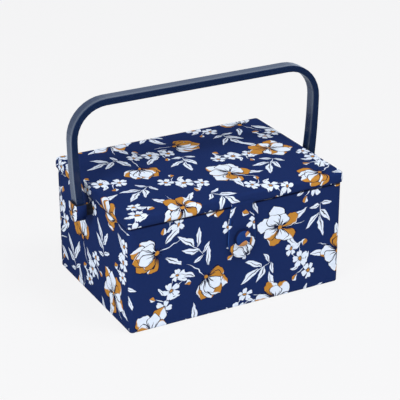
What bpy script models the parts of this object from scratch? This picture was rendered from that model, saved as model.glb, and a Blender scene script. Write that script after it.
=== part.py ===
"""A cloth-covered sewing box with a padded hinged lid, a closing tab, a swing handle and a lift-out tray.

Units are metres. The origin is at the middle of the underside, +Z is up and the front faces -Y.
"""

import math

import bmesh
import bpy
from mathutils import Matrix

for leftover in list(bpy.data.objects):
    bpy.data.objects.remove(leftover, do_unlink=True)

# Driving sizes of the whole box
lid_width = 0.260
lid_depth = 0.187
lid_edge_height = 0.1343
rim_height = 0.0125
rim_overhang = 0.0012
corner_radius = 0.004

# Sheet and board thicknesses, and the gap kept between pieces that touch
cloth = 0.0008
lining = 0.0008
board = 0.003
gap = 0.0003
overrun = 0.002

# Places that follow from the driving sizes
body_width = lid_width - 2 * rim_overhang
body_depth = lid_depth - 2 * rim_overhang
lid_bottom = lid_edge_height - rim_height
body_top = lid_bottom - gap
wall_x = body_width / 2
wall_y = body_depth / 2
board_x = wall_x - cloth - gap
board_y = wall_y - cloth - gap
board_radius = corner_radius - cloth - gap
inner_x = board_x - board
inner_y = board_y - board
lining_x = inner_x - gap
lining_y = inner_y - gap
well_x = lining_x - lining
well_y = lining_y - lining
board_bottom = cloth + gap
board_top = body_top - cloth - gap

arc_steps = 5
crown_corner_steps = 4
round_steps = 24
merge_distance = 0.00001

parts = bpy.data.collections.new("sewing_box")
cutters = bpy.data.collections.new("cutters")
bpy.context.scene.collection.children.link(parts)
bpy.context.scene.collection.children.link(cutters)

ALONG_X = Matrix(((0, 0, 1), (1, 0, 0), (0, 1, 0))).to_4x4()
ALONG_Y = Matrix(((1, 0, 0), (0, 0, -1), (0, 1, 0))).to_4x4()
ALONG_Z = Matrix.Identity(4)


# Finishes

def finish(name, colour, roughness, metallic=0.0):
    """A Principled material in one colour."""
    material = bpy.data.materials.new(name)
    material.use_nodes = True
    shader = material.node_tree.nodes["Principled BSDF"]
    shader.inputs["Base Color"].default_value = (*colour, 1.0)
    shader.inputs["Roughness"].default_value = roughness
    shader.inputs["Metallic"].default_value = metallic
    return material


def printed_cloth(name):
    return finish(name, (0.014, 0.027, 0.125), 0.85)


def lining_cloth(name):
    return finish(name, (0.035, 0.055, 0.16), 0.85)


def grey_board(name):
    return finish(name, (0.42, 0.38, 0.32), 0.9)


def steel(name):
    return finish(name, (0.62, 0.62, 0.64), 0.3, 1.0)


# Outlines, as lists of points in a plane

def arc(centre_u, centre_v, radius, start, end, steps=arc_steps):
    """Points along an arc, from one angle in degrees to another."""
    points = []
    for step in range(steps + 1):
        angle = math.radians(start + (end - start) * step / steps)
        points.append((centre_u + radius * math.cos(angle), centre_v + radius * math.sin(angle)))
    return points


def rectangle(half_u, half_v):
    return [(-half_u, -half_v), (half_u, -half_v), (half_u, half_v), (-half_u, half_v)]


def rounded_rectangle(half_u, half_v, radius, steps=arc_steps):
    """A rectangle about the origin with its four corners rounded."""
    centre_u = half_u - radius
    centre_v = half_v - radius
    return (
        arc(centre_u, centre_v, radius, 0, 90, steps)
        + arc(-centre_u, centre_v, radius, 90, 180, steps)
        + arc(-centre_u, -centre_v, radius, 180, 270, steps)
        + arc(centre_u, -centre_v, radius, 270, 360, steps)
    )


def wall_outline(half_length, outer, inner, radius):
    """A board seen from above, from its inner face out to its outer face with rounded outer corners."""
    side = 1 if outer > inner else -1
    centre_u = half_length - radius
    centre_v = outer - side * radius
    return (
        arc(centre_u, centre_v, radius, 0, side * 90)
        + arc(-centre_u, centre_v, radius, side * 90, side * 180)
        + [(-half_length, inner), (half_length, inner)]
    )


# Meshes

def flat_mesh(outlines, low, high, frame=ALONG_Z):
    """A flat outline, with any holes, made solid from one height to another along the frame's axis."""
    curve = bpy.data.curves.new("outline", "CURVE")
    curve.dimensions = "2D"
    curve.fill_mode = "BOTH"
    curve.extrude = abs(high - low) / 2
    for outline in outlines:
        spline = curve.splines.new("POLY")
        spline.points.add(len(outline) - 1)
        for point, (across, along) in zip(spline.points, outline):
            point.co = (across, along, 0, 1)
        spline.use_cyclic_u = True
    holder = bpy.data.objects.new("outline", curve)
    bpy.context.scene.collection.objects.link(holder)
    bpy.context.view_layer.update()
    evaluated = holder.evaluated_get(bpy.context.evaluated_depsgraph_get())
    mesh = bpy.data.meshes.new_from_object(evaluated)
    bpy.data.objects.remove(holder, do_unlink=True)
    middle = (low + high) / 2
    if frame is ALONG_Y:
        middle = -middle
    solid = bmesh.new()
    solid.from_mesh(mesh)
    bmesh.ops.translate(solid, verts=solid.verts, vec=(0, 0, middle))
    bmesh.ops.transform(solid, matrix=frame, verts=solid.verts)
    bmesh.ops.remove_doubles(solid, verts=solid.verts, dist=merge_distance)
    bmesh.ops.recalc_face_normals(solid, faces=solid.faces)
    solid.to_mesh(mesh)
    solid.free()
    return mesh


def box_mesh(low, high):
    """A plain box between two corners."""
    mesh = bpy.data.meshes.new("box")
    solid = bmesh.new()
    bmesh.ops.create_cube(solid, size=1)
    spans = [top - bottom for bottom, top in zip(low, high)]
    centre = [(top + bottom) / 2 for bottom, top in zip(low, high)]
    bmesh.ops.scale(solid, verts=solid.verts, vec=spans)
    bmesh.ops.translate(solid, verts=solid.verts, vec=centre)
    solid.to_mesh(mesh)
    solid.free()
    return mesh


def cylinder_mesh(radius, low, high, frame, across=0.0, along=0.0):
    """A cylinder along the frame's axis, its middle at two places across that axis."""
    circle = arc(across, along, radius, 0, 360, round_steps)[:-1]
    return flat_mesh([circle], low, high, frame)


def crowned_mesh(outline_of, base, edge, crown, edge_radius):
    """A block that stands on base; past its rounded edge its face swells by crown towards the middle.

    outline_of gives the plan for an inset and a share of the way to the middle. Where edge is lower
    than base the block hangs down instead.
    """
    side = 1 if edge > base else -1
    levels = [(0.0, 0.0, base)]
    edge_step_shares = (0.0, 0.5, 1.0)
    for share in edge_step_shares:
        angle = share * math.pi / 2
        rise = edge_radius * (1 - math.sin(angle))
        levels.append((edge_radius * (1 - math.cos(angle)), 0.0, edge - side * rise))
    crown_ring_shares = (0.1, 0.25, 0.45, 0.65, 0.85)
    for share in crown_ring_shares:
        swell = crown * (1 - (1 - share) ** 2)
        levels.append((edge_radius, share, edge + side * swell))
    mesh = bpy.data.meshes.new("crowned")
    solid = bmesh.new()
    inset, share, height = levels[0]
    face = solid.faces.new([solid.verts.new((x, y, height)) for x, y in outline_of(inset, share)])
    for inset, share, height in levels[1:]:
        face = bmesh.ops.extrude_discrete_faces(solid, faces=[face])["faces"][0]
        for vertex, (x, y) in zip(face.verts, outline_of(inset, share)):
            vertex.co = (x, y, height)
    bmesh.ops.holes_fill(solid, edges=solid.edges)
    bmesh.ops.recalc_face_normals(solid, faces=solid.faces)
    solid.to_mesh(mesh)
    solid.free()
    return mesh


# Objects

def add(name, mesh, material, sharp_angle=35):
    """A part as its own object, its round faces shaded smooth."""
    mesh.name = name
    mesh.materials.clear()
    mesh.materials.append(material)
    mesh.shade_smooth()
    mesh.set_sharp_from_angle(angle=math.radians(sharp_angle))
    item = bpy.data.objects.new(name, mesh)
    parts.objects.link(item)
    return item


def add_cutter(name, mesh):
    """A shape that only cuts or joins others."""
    item = bpy.data.objects.new(name, mesh)
    item.hide_render = True
    item.display_type = "WIRE"
    cutters.objects.link(item)
    return item


def combine(item, other, operation):
    modifier = item.modifiers.new(other.name, "BOOLEAN")
    modifier.operation = operation
    modifier.solver = "EXACT"
    modifier.object = other


def cut(item, cutter):
    combine(item, cutter, "DIFFERENCE")


def bevel(item, width, segments, angle=40):
    """Rounded edges where faces meet at more than an angle."""
    modifier = item.modifiers.new("rounded_edges", "BEVEL")
    modifier.width = width
    modifier.segments = segments
    modifier.limit_method = "ANGLE"
    modifier.angle_limit = math.radians(angle)


def turned(name, profile, material, frame, place):
    """A turned piece. The profile is radius and height, from the top down its outer side."""
    mesh = bpy.data.meshes.new(name)
    line = bmesh.new()
    points = [line.verts.new((radius, 0, height)) for radius, height in profile]
    for first, second in zip(points, points[1:]):
        line.edges.new((first, second))
    if profile[0][0] > 0:
        line.edges.new((points[-1], points[0]))
    line.to_mesh(mesh)
    line.free()
    item = add(name, mesh, material)
    screw = item.modifiers.new("turn", "SCREW")
    screw.axis = "Z"
    screw.angle = 2 * math.pi
    screw.steps = round_steps
    screw.render_steps = round_steps
    screw.use_merge_vertices = True
    screw.merge_threshold = merge_distance
    item.matrix_world = Matrix.Translation(place) @ frame
    return item


def pivot(name, place):
    """An empty on a joint's axis, which carries the pieces that turn about it."""
    empty = bpy.data.objects.new(name, None)
    empty.location = place
    parts.objects.link(empty)
    return empty


def carry(empty, items):
    """Parent pieces to an empty and leave them where they are."""
    bpy.context.view_layer.update()
    for item in items:
        item.parent = empty
        item.matrix_parent_inverse = empty.matrix_world.inverted()


# Swing handle: the places of its pivots and the pieces stacked along them, outwards from the wall

pivot_drop = 0.0135
pin_radius = 0.0025
pin_hole_radius = pin_radius + gap
pin_head_radius = 0.0045
pin_head_thickness = 0.0015
head_flat_share = 0.8
head_round_share = 0.35
washer_radius = 0.008
washer_thickness = 0.0012
spacer_length = 0.0091
spacer_radius = 0.006
socket_inner_wall = 0.0016
socket_outer_wall = 0.0019
socket_height = 0.0205
socket_bottom_radius = 0.0100
foot_thickness = 0.005
foot_half_width = 0.0055

pivot_height = body_top - pivot_drop
spacer_start = wall_x + gap
spacer_end = spacer_start + spacer_length
socket_start = spacer_end + gap
pocket_start = socket_start + socket_inner_wall
foot_start = pocket_start + gap
foot_end = foot_start + foot_thickness
head_start = foot_end + gap
head_end = head_start + pin_head_thickness
pocket_end = head_end + gap
socket_end = pocket_end + socket_outer_wall
socket_cover_start = socket_end + gap
socket_cover_end = socket_cover_start + cloth
socket_top = pivot_height - socket_bottom_radius + socket_height
socket_half_width = socket_bottom_radius - cloth - gap
pocket_half_width = foot_half_width + gap


def tombstone(half_width, top, steps=round_steps // 2):
    """A shape with a half-round lower end about the pivot and straight sides up to a flat top."""
    round_end = arc(0.0, pivot_height, half_width, 180, 360, steps)
    return round_end + [(half_width, top), (-half_width, top)]


def mirrored(side, low, high):
    """The span from low to high, measured outwards from the middle of the box on one side."""
    return (low, high) if side > 0 else (-high, -low)


sides = {"left": -1, "right": 1}


# Box body: the base, four wall boards and the cloth that wraps them

base_cover = add(
    "base_cover",
    flat_mesh([rounded_rectangle(wall_x, wall_y, corner_radius)], 0.0, cloth),
    finish("base_cloth", (0.01, 0.014, 0.045), 0.9),
)

base_board = add(
    "base_board",
    box_mesh((gap - inner_x, gap - inner_y, board_bottom), (inner_x - gap, inner_y - gap, board_bottom + board)),
    grey_board("base_board"),
)

front_board = add(
    "front_board",
    flat_mesh([wall_outline(board_x, -board_y, -inner_y, board_radius)], board_bottom, board_top),
    grey_board("front_board"),
)

back_board = add(
    "back_board",
    flat_mesh([wall_outline(board_x, board_y, inner_y, board_radius)], board_bottom, board_top),
    grey_board("back_board"),
)

washer_recess_radius = washer_radius + gap
washer_recess_depth = washer_thickness + gap
for side_name, side in sides.items():
    near, far = mirrored(side, inner_x, board_x)
    side_board = add(
        f"side_board_{side_name}",
        box_mesh((near, gap - inner_y, board_bottom), (far, inner_y - gap, board_top)),
        grey_board(f"side_board_{side_name}"),
    )
    near, far = mirrored(side, inner_x - overrun, inner_x + washer_recess_depth)
    recess = add_cutter(
        f"washer_recess_{side_name}",
        cylinder_mesh(washer_recess_radius, near, far, ALONG_X, 0.0, pivot_height),
    )
    near, far = mirrored(side, inner_x - overrun, wall_x + overrun)
    pin_hole = add_cutter(
        f"pin_hole_{side_name}",
        cylinder_mesh(pin_hole_radius, near, far, ALONG_X, 0.0, pivot_height),
    )
    cut(side_board, recess)
    cut(side_board, pin_hole)

outer_cover = add(
    "outer_cover",
    flat_mesh([rounded_rectangle(wall_x, wall_y, corner_radius)], board_bottom, body_top),
    printed_cloth("outer_cloth"),
)
cut(
    outer_cover,
    add_cutter(
        "cover_hollow",
        flat_mesh(
            [rounded_rectangle(wall_x - cloth, wall_y - cloth, corner_radius - cloth)],
            board_bottom - overrun,
            body_top - cloth,
        ),
    ),
)
cut(
    outer_cover,
    add_cutter(
        "cover_mouth",
        box_mesh((-inner_x, -inner_y, board_top - overrun), (inner_x, inner_y, body_top + overrun)),
    ),
)
for side_name in sides:
    cut(outer_cover, bpy.data.objects[f"pin_hole_{side_name}"])


# Lining, tray ledges and the lift-out tray

base_lining_thickness = 0.0015
panel_round_share = 0.3
ledge_thickness = 0.006
ledge_round_share = 0.2
ledge_height = 0.0645
base_lining_bottom = board_bottom + board + gap
base_lining_top = base_lining_bottom + base_lining_thickness
ledge_bottom = base_lining_top + gap
ledge_top = ledge_bottom + ledge_height

wall_lining = add(
    "wall_lining",
    flat_mesh([rectangle(lining_x, lining_y), rectangle(well_x, well_y)], base_lining_bottom, body_top),
    lining_cloth("wall_lining"),
)

base_lining = add(
    "base_lining",
    box_mesh((gap - well_x, gap - well_y, base_lining_bottom), (well_x - gap, well_y - gap, base_lining_top)),
    lining_cloth("base_lining"),
)
bevel(base_lining, base_lining_thickness * panel_round_share, 1)

for side_name, side in sides.items():
    near, far = mirrored(side, well_x - gap - ledge_thickness, well_x - gap)
    ledge = add(
        f"ledge_{side_name}",
        box_mesh((near, gap - well_y, ledge_bottom), (far, well_y - gap, ledge_top)),
        lining_cloth(f"ledge_{side_name}"),
    )
    bevel(ledge, ledge_thickness * ledge_round_share, 2)

tray_clearance = 0.0012
tray_height = 0.034
tray_wall = 0.0018
tray_divider = 0.0016
tray_floor = 0.0018
tray_corner = 0.005
pocket_corner = 0.004
thumb_notch_radius = 0.011
thumb_notch_depth = 0.009
tray_x = well_x - tray_clearance
tray_y = well_y - tray_clearance
tray_bottom = ledge_top + gap
tray_top = tray_bottom + tray_height

# Rows from front to back: each row's share of the depth and its pockets' shares of the width
tray_row_shares = (
    (0.34, (0.27, 0.27, 0.46)),
    (0.22, (0.5, 0.5)),
    (0.44, (0.64, 0.36)),
)


def tray_pockets():
    """The low and high corners of each pocket of the tray, in rows from front to back."""
    pockets = []
    row_start = tray_wall - tray_y
    row_run = 2 * (tray_y - tray_wall) - tray_divider * (len(tray_row_shares) - 1)
    for row_share, pocket_shares in tray_row_shares:
        row_end = row_start + row_run * row_share
        pocket_start_x = tray_wall - tray_x
        pocket_run = 2 * (tray_x - tray_wall) - tray_divider * (len(pocket_shares) - 1)
        for pocket_share in pocket_shares:
            pocket_end_x = pocket_start_x + pocket_run * pocket_share
            pockets.append(((pocket_start_x, row_start), (pocket_end_x, row_end)))
            pocket_start_x = pocket_end_x + tray_divider
        row_start = row_end + tray_divider
    return pockets


tray = add(
    "tray",
    flat_mesh([rounded_rectangle(tray_x, tray_y, tray_corner)], tray_bottom, tray_top),
    finish("tray_plastic", (0.72, 0.74, 0.76), 0.4),
)
for number, (low, high) in enumerate(tray_pockets()):
    pocket = add_cutter(
        f"tray_pocket_{number}",
        box_mesh((*low, tray_bottom + tray_floor), (*high, tray_top + tray_height)),
    )
    bevel(pocket, pocket_corner, 2)
    cut(tray, pocket)
thumb_notch_centre = tray_top - thumb_notch_depth + thumb_notch_radius
for side_name, side in sides.items():
    near, far = mirrored(side, tray_x - tray_wall - overrun / 2, tray_x + overrun)
    cut(
        tray,
        add_cutter(
            f"thumb_notch_{side_name}",
            cylinder_mesh(thumb_notch_radius, near, far, ALONG_X, -tray_y / 2, thumb_notch_centre),
        ),
    )


# Lid: four rim boards, the lid board, the padding, the printed cover and the lining under it

lid_board_thickness = 0.0025
pad_edge_thickness = 0.0012
lid_crown = 0.003
lid_edge_radius = 0.0024
lid_lining_thickness = 0.0012

lid_x = lid_width / 2
lid_y = lid_depth / 2
rim_x = lid_x - cloth - gap
rim_y = lid_y - cloth - gap
rim_inner_x = rim_x - board
rim_inner_y = rim_y - board
pad_edge_top = lid_edge_height - cloth - gap
pad_bottom = pad_edge_top - pad_edge_thickness
lid_board_top = pad_bottom - gap
lid_board_bottom = lid_board_top - lid_board_thickness
rim_bottom = lid_bottom + cloth + gap
rim_top = lid_board_bottom - gap
lid_lining_top = lid_board_bottom - gap
lid_lining_bottom = lid_lining_top - lid_lining_thickness

hinge_height = (lid_bottom + body_top) / 2
lid_pivot = pivot("lid_pivot", (0.0, lid_y, hinge_height))


def lid_plan(offset):
    """The lid seen from above, drawn in by an offset, for crowned_mesh."""
    def outline_of(inset, share):
        left_share = 1 - share
        half_u = (lid_x - offset - inset) * left_share
        half_v = (lid_y - offset - inset) * left_share
        radius = max(corner_radius - offset - inset, gap) * left_share
        return rounded_rectangle(half_u, half_v, radius, crown_corner_steps)
    return outline_of


lid_rim_front = add(
    "lid_rim_front",
    flat_mesh([wall_outline(rim_x, -rim_y, -rim_inner_y, board_radius)], rim_bottom, rim_top),
    grey_board("lid_rim_front"),
)
lid_rim_back = add(
    "lid_rim_back",
    flat_mesh([wall_outline(rim_x, rim_y, rim_inner_y, board_radius)], rim_bottom, rim_top),
    grey_board("lid_rim_back"),
)
lid_pieces = [lid_rim_front, lid_rim_back]
for side_name, side in sides.items():
    near, far = mirrored(side, rim_inner_x, rim_x)
    lid_pieces.append(
        add(
            f"lid_rim_{side_name}",
            box_mesh((near, gap - rim_inner_y, rim_bottom), (far, rim_inner_y - gap, rim_top)),
            grey_board(f"lid_rim_{side_name}"),
        )
    )

lid_board = add(
    "lid_board",
    flat_mesh([rounded_rectangle(rim_x, rim_y, board_radius)], lid_board_bottom, lid_board_top),
    grey_board("lid_board"),
)

lid_pad = add(
    "lid_pad",
    crowned_mesh(lid_plan(cloth + gap), pad_bottom, pad_edge_top, lid_crown, lid_edge_radius - cloth - gap),
    finish("pad_foam", (0.75, 0.74, 0.7), 0.95),
)

lid_cover = add(
    "lid_cover",
    crowned_mesh(lid_plan(0.0), lid_bottom, lid_edge_height, lid_crown, lid_edge_radius),
    printed_cloth("lid_cloth"),
)
cut(
    lid_cover,
    add_cutter(
        "lid_hollow",
        crowned_mesh(
            lid_plan(cloth),
            lid_bottom + cloth,
            lid_edge_height - cloth,
            lid_crown,
            lid_edge_radius - cloth,
        ),
    ),
)
cut(
    lid_cover,
    add_cutter(
        "lid_mouth",
        box_mesh(
            (-rim_inner_x, -rim_inner_y, lid_bottom - overrun),
            (rim_inner_x, rim_inner_y, lid_bottom + overrun),
        ),
    ),
)

lid_lining = add(
    "lid_lining",
    box_mesh(
        (gap - rim_inner_x, gap - rim_inner_y, lid_lining_bottom),
        (rim_inner_x - gap, rim_inner_y - gap, lid_lining_top),
    ),
    lining_cloth("lid_lining"),
)
lid_pieces += [lid_board, lid_pad, lid_cover, lid_lining]


# Inside of the lid: a pin cushion and a band of elastic loops for reels and tools

cushion_half_width = 0.045
cushion_half_depth = 0.030
cushion_side_height = 0.006
cushion_crown = 0.006
cushion_edge_radius = 0.004
cushion_corner_radius = 0.012
cushion_side_draw = 0.002
cushion_offset = 0.062
cushion_base = lid_lining_bottom - gap


def cushion_plan(inset, share):
    """The pin cushion from above: its sides draw in between its corners."""
    left_share = 1 - share
    points = []
    half_u = cushion_half_width - inset
    half_v = cushion_half_depth - inset
    outline = rounded_rectangle(half_u, half_v, cushion_corner_radius - inset, crown_corner_steps)
    middles = [(half_u, 0.0), (0.0, half_v), (-half_u, 0.0), (0.0, -half_v)]
    corner_points = len(outline) // len(middles)
    for corner, (middle_u, middle_v) in enumerate(middles):
        draw_share = 1 - cushion_side_draw / math.hypot(middle_u, middle_v)
        points.append((middle_u * draw_share, middle_v * draw_share))
        points += outline[corner * corner_points:(corner + 1) * corner_points]
    return [(u * left_share - cushion_offset, v * left_share) for u, v in points]


pin_cushion = add(
    "pin_cushion",
    crowned_mesh(
        cushion_plan,
        cushion_base,
        cushion_base - cushion_side_height,
        cushion_crown,
        cushion_edge_radius,
    ),
    finish("cushion_cloth", (0.55, 0.27, 0.05), 0.85),
    60,
)

band_width = 0.014
band_thickness = 0.0008
band_loop_width = 0.018
band_loop_height = 0.004
band_foot_width = 0.006
band_loop_count = 4
band_offset = 0.062
band_loop_steps = 6

band_mesh = bpy.data.meshes.new("thread_elastic")
band = bmesh.new()
band_line = []
band_length = band_loop_count * band_loop_width + (band_loop_count + 1) * band_foot_width
band_height = lid_lining_bottom - gap - band_thickness / 2
band_start = band_offset - band_length / 2
band_line.append(band.verts.new((band_start, -band_width / 2, band_height)))
for loop in range(band_loop_count):
    loop_start = band_start + band_foot_width + loop * (band_loop_width + band_foot_width)
    for step in range(band_loop_steps + 1):
        step_share = step / band_loop_steps
        drop = band_loop_height * math.sin(math.pi * step_share)
        place = (loop_start + band_loop_width * step_share, -band_width / 2, band_height - drop)
        band_line.append(band.verts.new(place))
band_line.append(band.verts.new((band_start + band_length, -band_width / 2, band_height)))
band_edges = [band.edges.new(pair) for pair in zip(band_line, band_line[1:])]
band_strip = bmesh.ops.extrude_edge_only(band, edges=band_edges)["geom"]
strip_verts = [item for item in band_strip if isinstance(item, bmesh.types.BMVert)]
bmesh.ops.translate(band, verts=strip_verts, vec=(0, band_width, 0))
bmesh.ops.recalc_face_normals(band, faces=band.faces)
band.to_mesh(band_mesh)
band.free()
thread_elastic = add("thread_elastic", band_mesh, finish("elastic", (0.02, 0.03, 0.09), 0.8))
band_solid = thread_elastic.modifiers.new("thickness", "SOLIDIFY")
band_solid.thickness = band_thickness
band_solid.offset = 0.0
lid_pieces += [pin_cushion, thread_elastic]


# Cloth hinge: a strip inside the back wall and its other half inside the lid's rim

hinge_strip_thickness = 0.0006
hinge_strip_half_length = 0.118
hinge_strip_drop = 0.0135

hinge_cloth_lower = add(
    "hinge_cloth_lower",
    box_mesh(
        (-hinge_strip_half_length, well_y - gap - hinge_strip_thickness, body_top - hinge_strip_drop),
        (hinge_strip_half_length, well_y - gap, body_top),
    ),
    lining_cloth("hinge_cloth_lower"),
)
hinge_cloth_upper = add(
    "hinge_cloth_upper",
    box_mesh(
        (-hinge_strip_half_length, rim_inner_y - gap - hinge_strip_thickness, lid_bottom),
        (hinge_strip_half_length, rim_inner_y - gap, lid_lining_bottom - gap),
    ),
    lining_cloth("hinge_cloth_upper"),
)
lid_pieces.append(hinge_cloth_upper)


# Closing tab on the front of the lid, with its covered button and a magnet that meets one in the wall

tab_offset = 0.003
tab_thickness = 0.002
tab_top_half_width = 0.013
tab_half_width = 0.0168
tab_straight_length = 0.0400
tab_round_length = 0.0212
tab_edge_round = 0.0005
tab_end_steps = 12
magnet_radius = 0.007
tab_magnet_thickness = 0.0009
wall_magnet_thickness = 0.0012
button_height = 0.0845
button_radius = 0.0098
button_rise = 0.0046
button_side_rise = 0.0018
button_wall = 0.0008
button_back_thickness = 0.0008
button_shank_radius = 0.0016

tab_top = body_top
tab_back = -wall_y - gap
tab_front = tab_back - tab_thickness
tab_pivot = pivot("tab_pivot", (tab_offset, tab_front, tab_top))


def tab_outline():
    """The tab from the front: it widens down to the button and ends in a half oval."""
    round_centre = tab_top - tab_straight_length
    lower_end = [
        (tab_offset + tab_half_width * across, round_centre + tab_round_length * along)
        for across, along in arc(0, 0, 1, 180, 360, tab_end_steps)
    ]
    return lower_end + [(tab_offset + tab_top_half_width, tab_top), (tab_offset - tab_top_half_width, tab_top)]


closure_tab = add(
    "closure_tab",
    flat_mesh([tab_outline()], tab_front, tab_back, ALONG_Y),
    printed_cloth("tab_cloth"),
)
bevel(closure_tab, tab_edge_round, 1, 60)
magnet_hole_radius = magnet_radius + gap
tab_recess_bottom = tab_back - tab_magnet_thickness - gap
cut(
    closure_tab,
    add_cutter(
        "tab_recess",
        cylinder_mesh(
            magnet_hole_radius, tab_recess_bottom, tab_back + overrun, ALONG_Y, tab_offset, button_height
        ),
    ),
)
cut(
    closure_tab,
    add_cutter(
        "shank_hole",
        cylinder_mesh(
            button_shank_radius + gap,
            tab_front - overrun,
            tab_back + overrun,
            ALONG_Y,
            tab_offset,
            button_height,
        ),
    ),
)

tab_magnet = add(
    "tab_magnet",
    cylinder_mesh(magnet_radius, tab_back - tab_magnet_thickness, tab_back, ALONG_Y, tab_offset, button_height),
    steel("tab_magnet"),
)

wall_magnet = add(
    "wall_magnet",
    cylinder_mesh(
        magnet_radius, -board_y, wall_magnet_thickness - board_y, ALONG_Y, tab_offset, button_height
    ),
    steel("wall_magnet"),
)
cut(
    front_board,
    add_cutter(
        "wall_magnet_recess",
        cylinder_mesh(
            magnet_hole_radius,
            -board_y - overrun,
            wall_magnet_thickness + gap - board_y,
            ALONG_Y,
            tab_offset,
            button_height,
        ),
    ),
)

button_seat = (tab_offset, tab_front - gap, button_height)
dome_turns = [math.radians(angle) for angle in (90, 70, 50, 30, 12, 0)]


def dome(radius, side_rise, rise):
    """A domed top from its middle out to the top of its straight side."""
    return [(radius * math.cos(turn), side_rise + (rise - side_rise) * math.sin(turn)) for turn in dome_turns]


button_cup_radius = button_radius - button_wall
outer_side = dome(button_radius, button_side_rise, button_rise) + [(button_radius, 0.0)]
inner_side = dome(button_cup_radius, button_side_rise, button_rise - button_wall) + [(button_cup_radius, 0.0)]
outer_side[0] = (0.0, button_rise)
inner_side[0] = (0.0, button_rise - button_wall)
button_shell = turned(
    "button_shell",
    outer_side + inner_side[::-1],
    printed_cloth("button_cloth"),
    ALONG_Y,
    button_seat,
)

button_back_radius = button_cup_radius - gap
shank_end = tab_magnet_thickness - tab_thickness
button_back = turned(
    "button_back",
    [
        (0.0, button_back_thickness),
        (button_back_radius, button_back_thickness),
        (button_back_radius, 0.0),
        (button_shank_radius, 0.0),
        (button_shank_radius, shank_end),
        (0.0, shank_end),
    ],
    steel("button_back"),
    ALONG_Y,
    button_seat,
)
tab_pieces = [closure_tab, tab_magnet, button_shell, button_back]


# Handle bail: a flat moulded bow whose legs splay a little towards their feet

handle_top = 0.232
handle_bar_thickness = 0.0074
handle_leg_thickness = 0.0069
handle_foot_lap = 0.0008
handle_half_depth = 0.0075
handle_outer_radius = 0.042
handle_inner_radius = 0.034
handle_outer_splay = 0.0033
handle_inner_splay = 0.0048
handle_edge_round = 0.0018
leg_steps = 5
shoulder_steps = 9

leg_foot = socket_top + gap
leg_foot_inner = foot_start - handle_foot_lap
handle_half_width = leg_foot_inner + handle_inner_splay + handle_leg_thickness


def leg_line(top_x, splay, shoulder_height):
    """A leg's side from its foot up to the shoulder, which it meets upright."""
    points = []
    for step in range(leg_steps):
        rise_share = step / leg_steps
        height = leg_foot + (shoulder_height - leg_foot) * rise_share
        points.append((top_x - splay * (1 - rise_share) ** 2, height))
    return points


def bow_side(top_x, top, radius, splay):
    """One side of the bow, from the right foot up over the shoulder to the bar."""
    shoulder = arc(top_x - radius, top - radius, radius, 0, 90, shoulder_steps)
    return leg_line(top_x, splay, top - radius) + shoulder


def mirror_line(points):
    return [(-across, along) for across, along in reversed(points)]


outer_bow = bow_side(handle_half_width, handle_top, handle_outer_radius, handle_outer_splay)
inner_bow = bow_side(
    handle_half_width - handle_leg_thickness,
    handle_top - handle_bar_thickness,
    handle_inner_radius,
    handle_inner_splay,
)
bow_outline = outer_bow + mirror_line(outer_bow) + mirror_line(inner_bow)[::-1] + inner_bow[::-1]
handle = add(
    "handle",
    flat_mesh([bow_outline], -handle_half_depth, handle_half_depth, ALONG_Y),
    finish("handle_plastic", (0.012, 0.028, 0.075), 0.35),
)
bevel(handle, handle_edge_round, 2, 50)

handle_pieces = [handle]
for side_name, side in sides.items():
    near, far = mirrored(side, foot_start, foot_end)
    foot = add_cutter(
        f"foot_{side_name}",
        flat_mesh([tombstone(foot_half_width, leg_foot + overrun)], near, far, ALONG_X),
    )
    combine(handle, foot, "UNION")
    near, far = mirrored(side, socket_start - overrun, head_start)
    eye = add_cutter(
        f"eye_{side_name}",
        cylinder_mesh(pin_hole_radius, near, far, ALONG_X, 0.0, pivot_height),
    )
    cut(handle, eye)

    near, far = mirrored(side, socket_start, socket_end)
    socket = add(
        f"handle_socket_{side_name}",
        flat_mesh([tombstone(socket_half_width, socket_top)], near, far, ALONG_X),
        finish(f"socket_plastic_{side_name}", (0.02, 0.02, 0.03), 0.5),
    )
    near, far = mirrored(side, pocket_start, pocket_end)
    cut(
        socket,
        add_cutter(
            f"socket_pocket_{side_name}",
            flat_mesh([tombstone(pocket_half_width, socket_top + overrun)], near, far, ALONG_X),
        ),
    )
    cut(socket, eye)

    near, far = mirrored(side, socket_start, socket_cover_end)
    socket_cover = add(
        f"socket_cover_{side_name}",
        flat_mesh([tombstone(socket_bottom_radius, socket_top)], near, far, ALONG_X),
        printed_cloth(f"socket_cloth_{side_name}"),
    )
    near, far = mirrored(side, socket_start - overrun, socket_cover_start)
    cut(
        socket_cover,
        add_cutter(
            f"socket_cover_hollow_{side_name}",
            flat_mesh([tombstone(socket_half_width + gap, socket_top + overrun)], near, far, ALONG_X),
        ),
    )
    handle_pieces += [socket, socket_cover]

    frame = ALONG_X if side > 0 else Matrix.Rotation(math.pi, 4, "Z") @ ALONG_X
    pivot_place = (0.0, 0.0, pivot_height)
    turned(
        f"pivot_pin_{side_name}",
        [
            (0.0, head_end),
            (pin_head_radius * head_flat_share, head_end),
            (pin_head_radius, head_end - pin_head_thickness * head_round_share),
            (pin_head_radius, head_start),
            (pin_radius, head_start),
            (pin_radius, inner_x),
            (0.0, inner_x),
        ],
        steel(f"pivot_pin_{side_name}"),
        frame,
        pivot_place,
    )
    turned(
        f"pivot_spacer_{side_name}",
        [
            (pin_hole_radius, spacer_end),
            (spacer_radius, spacer_end),
            (spacer_radius, spacer_start),
            (pin_hole_radius, spacer_start),
        ],
        finish(f"spacer_plastic_{side_name}", (0.02, 0.02, 0.03), 0.5),
        frame,
        pivot_place,
    )
    turned(
        f"pivot_washer_{side_name}",
        [
            (pin_hole_radius, inner_x + washer_thickness),
            (washer_radius, inner_x + washer_thickness),
            (washer_radius, inner_x),
            (pin_hole_radius, inner_x),
        ],
        steel(f"pivot_washer_{side_name}"),
        frame,
        pivot_place,
    )


# What turns with each pivot

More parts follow.
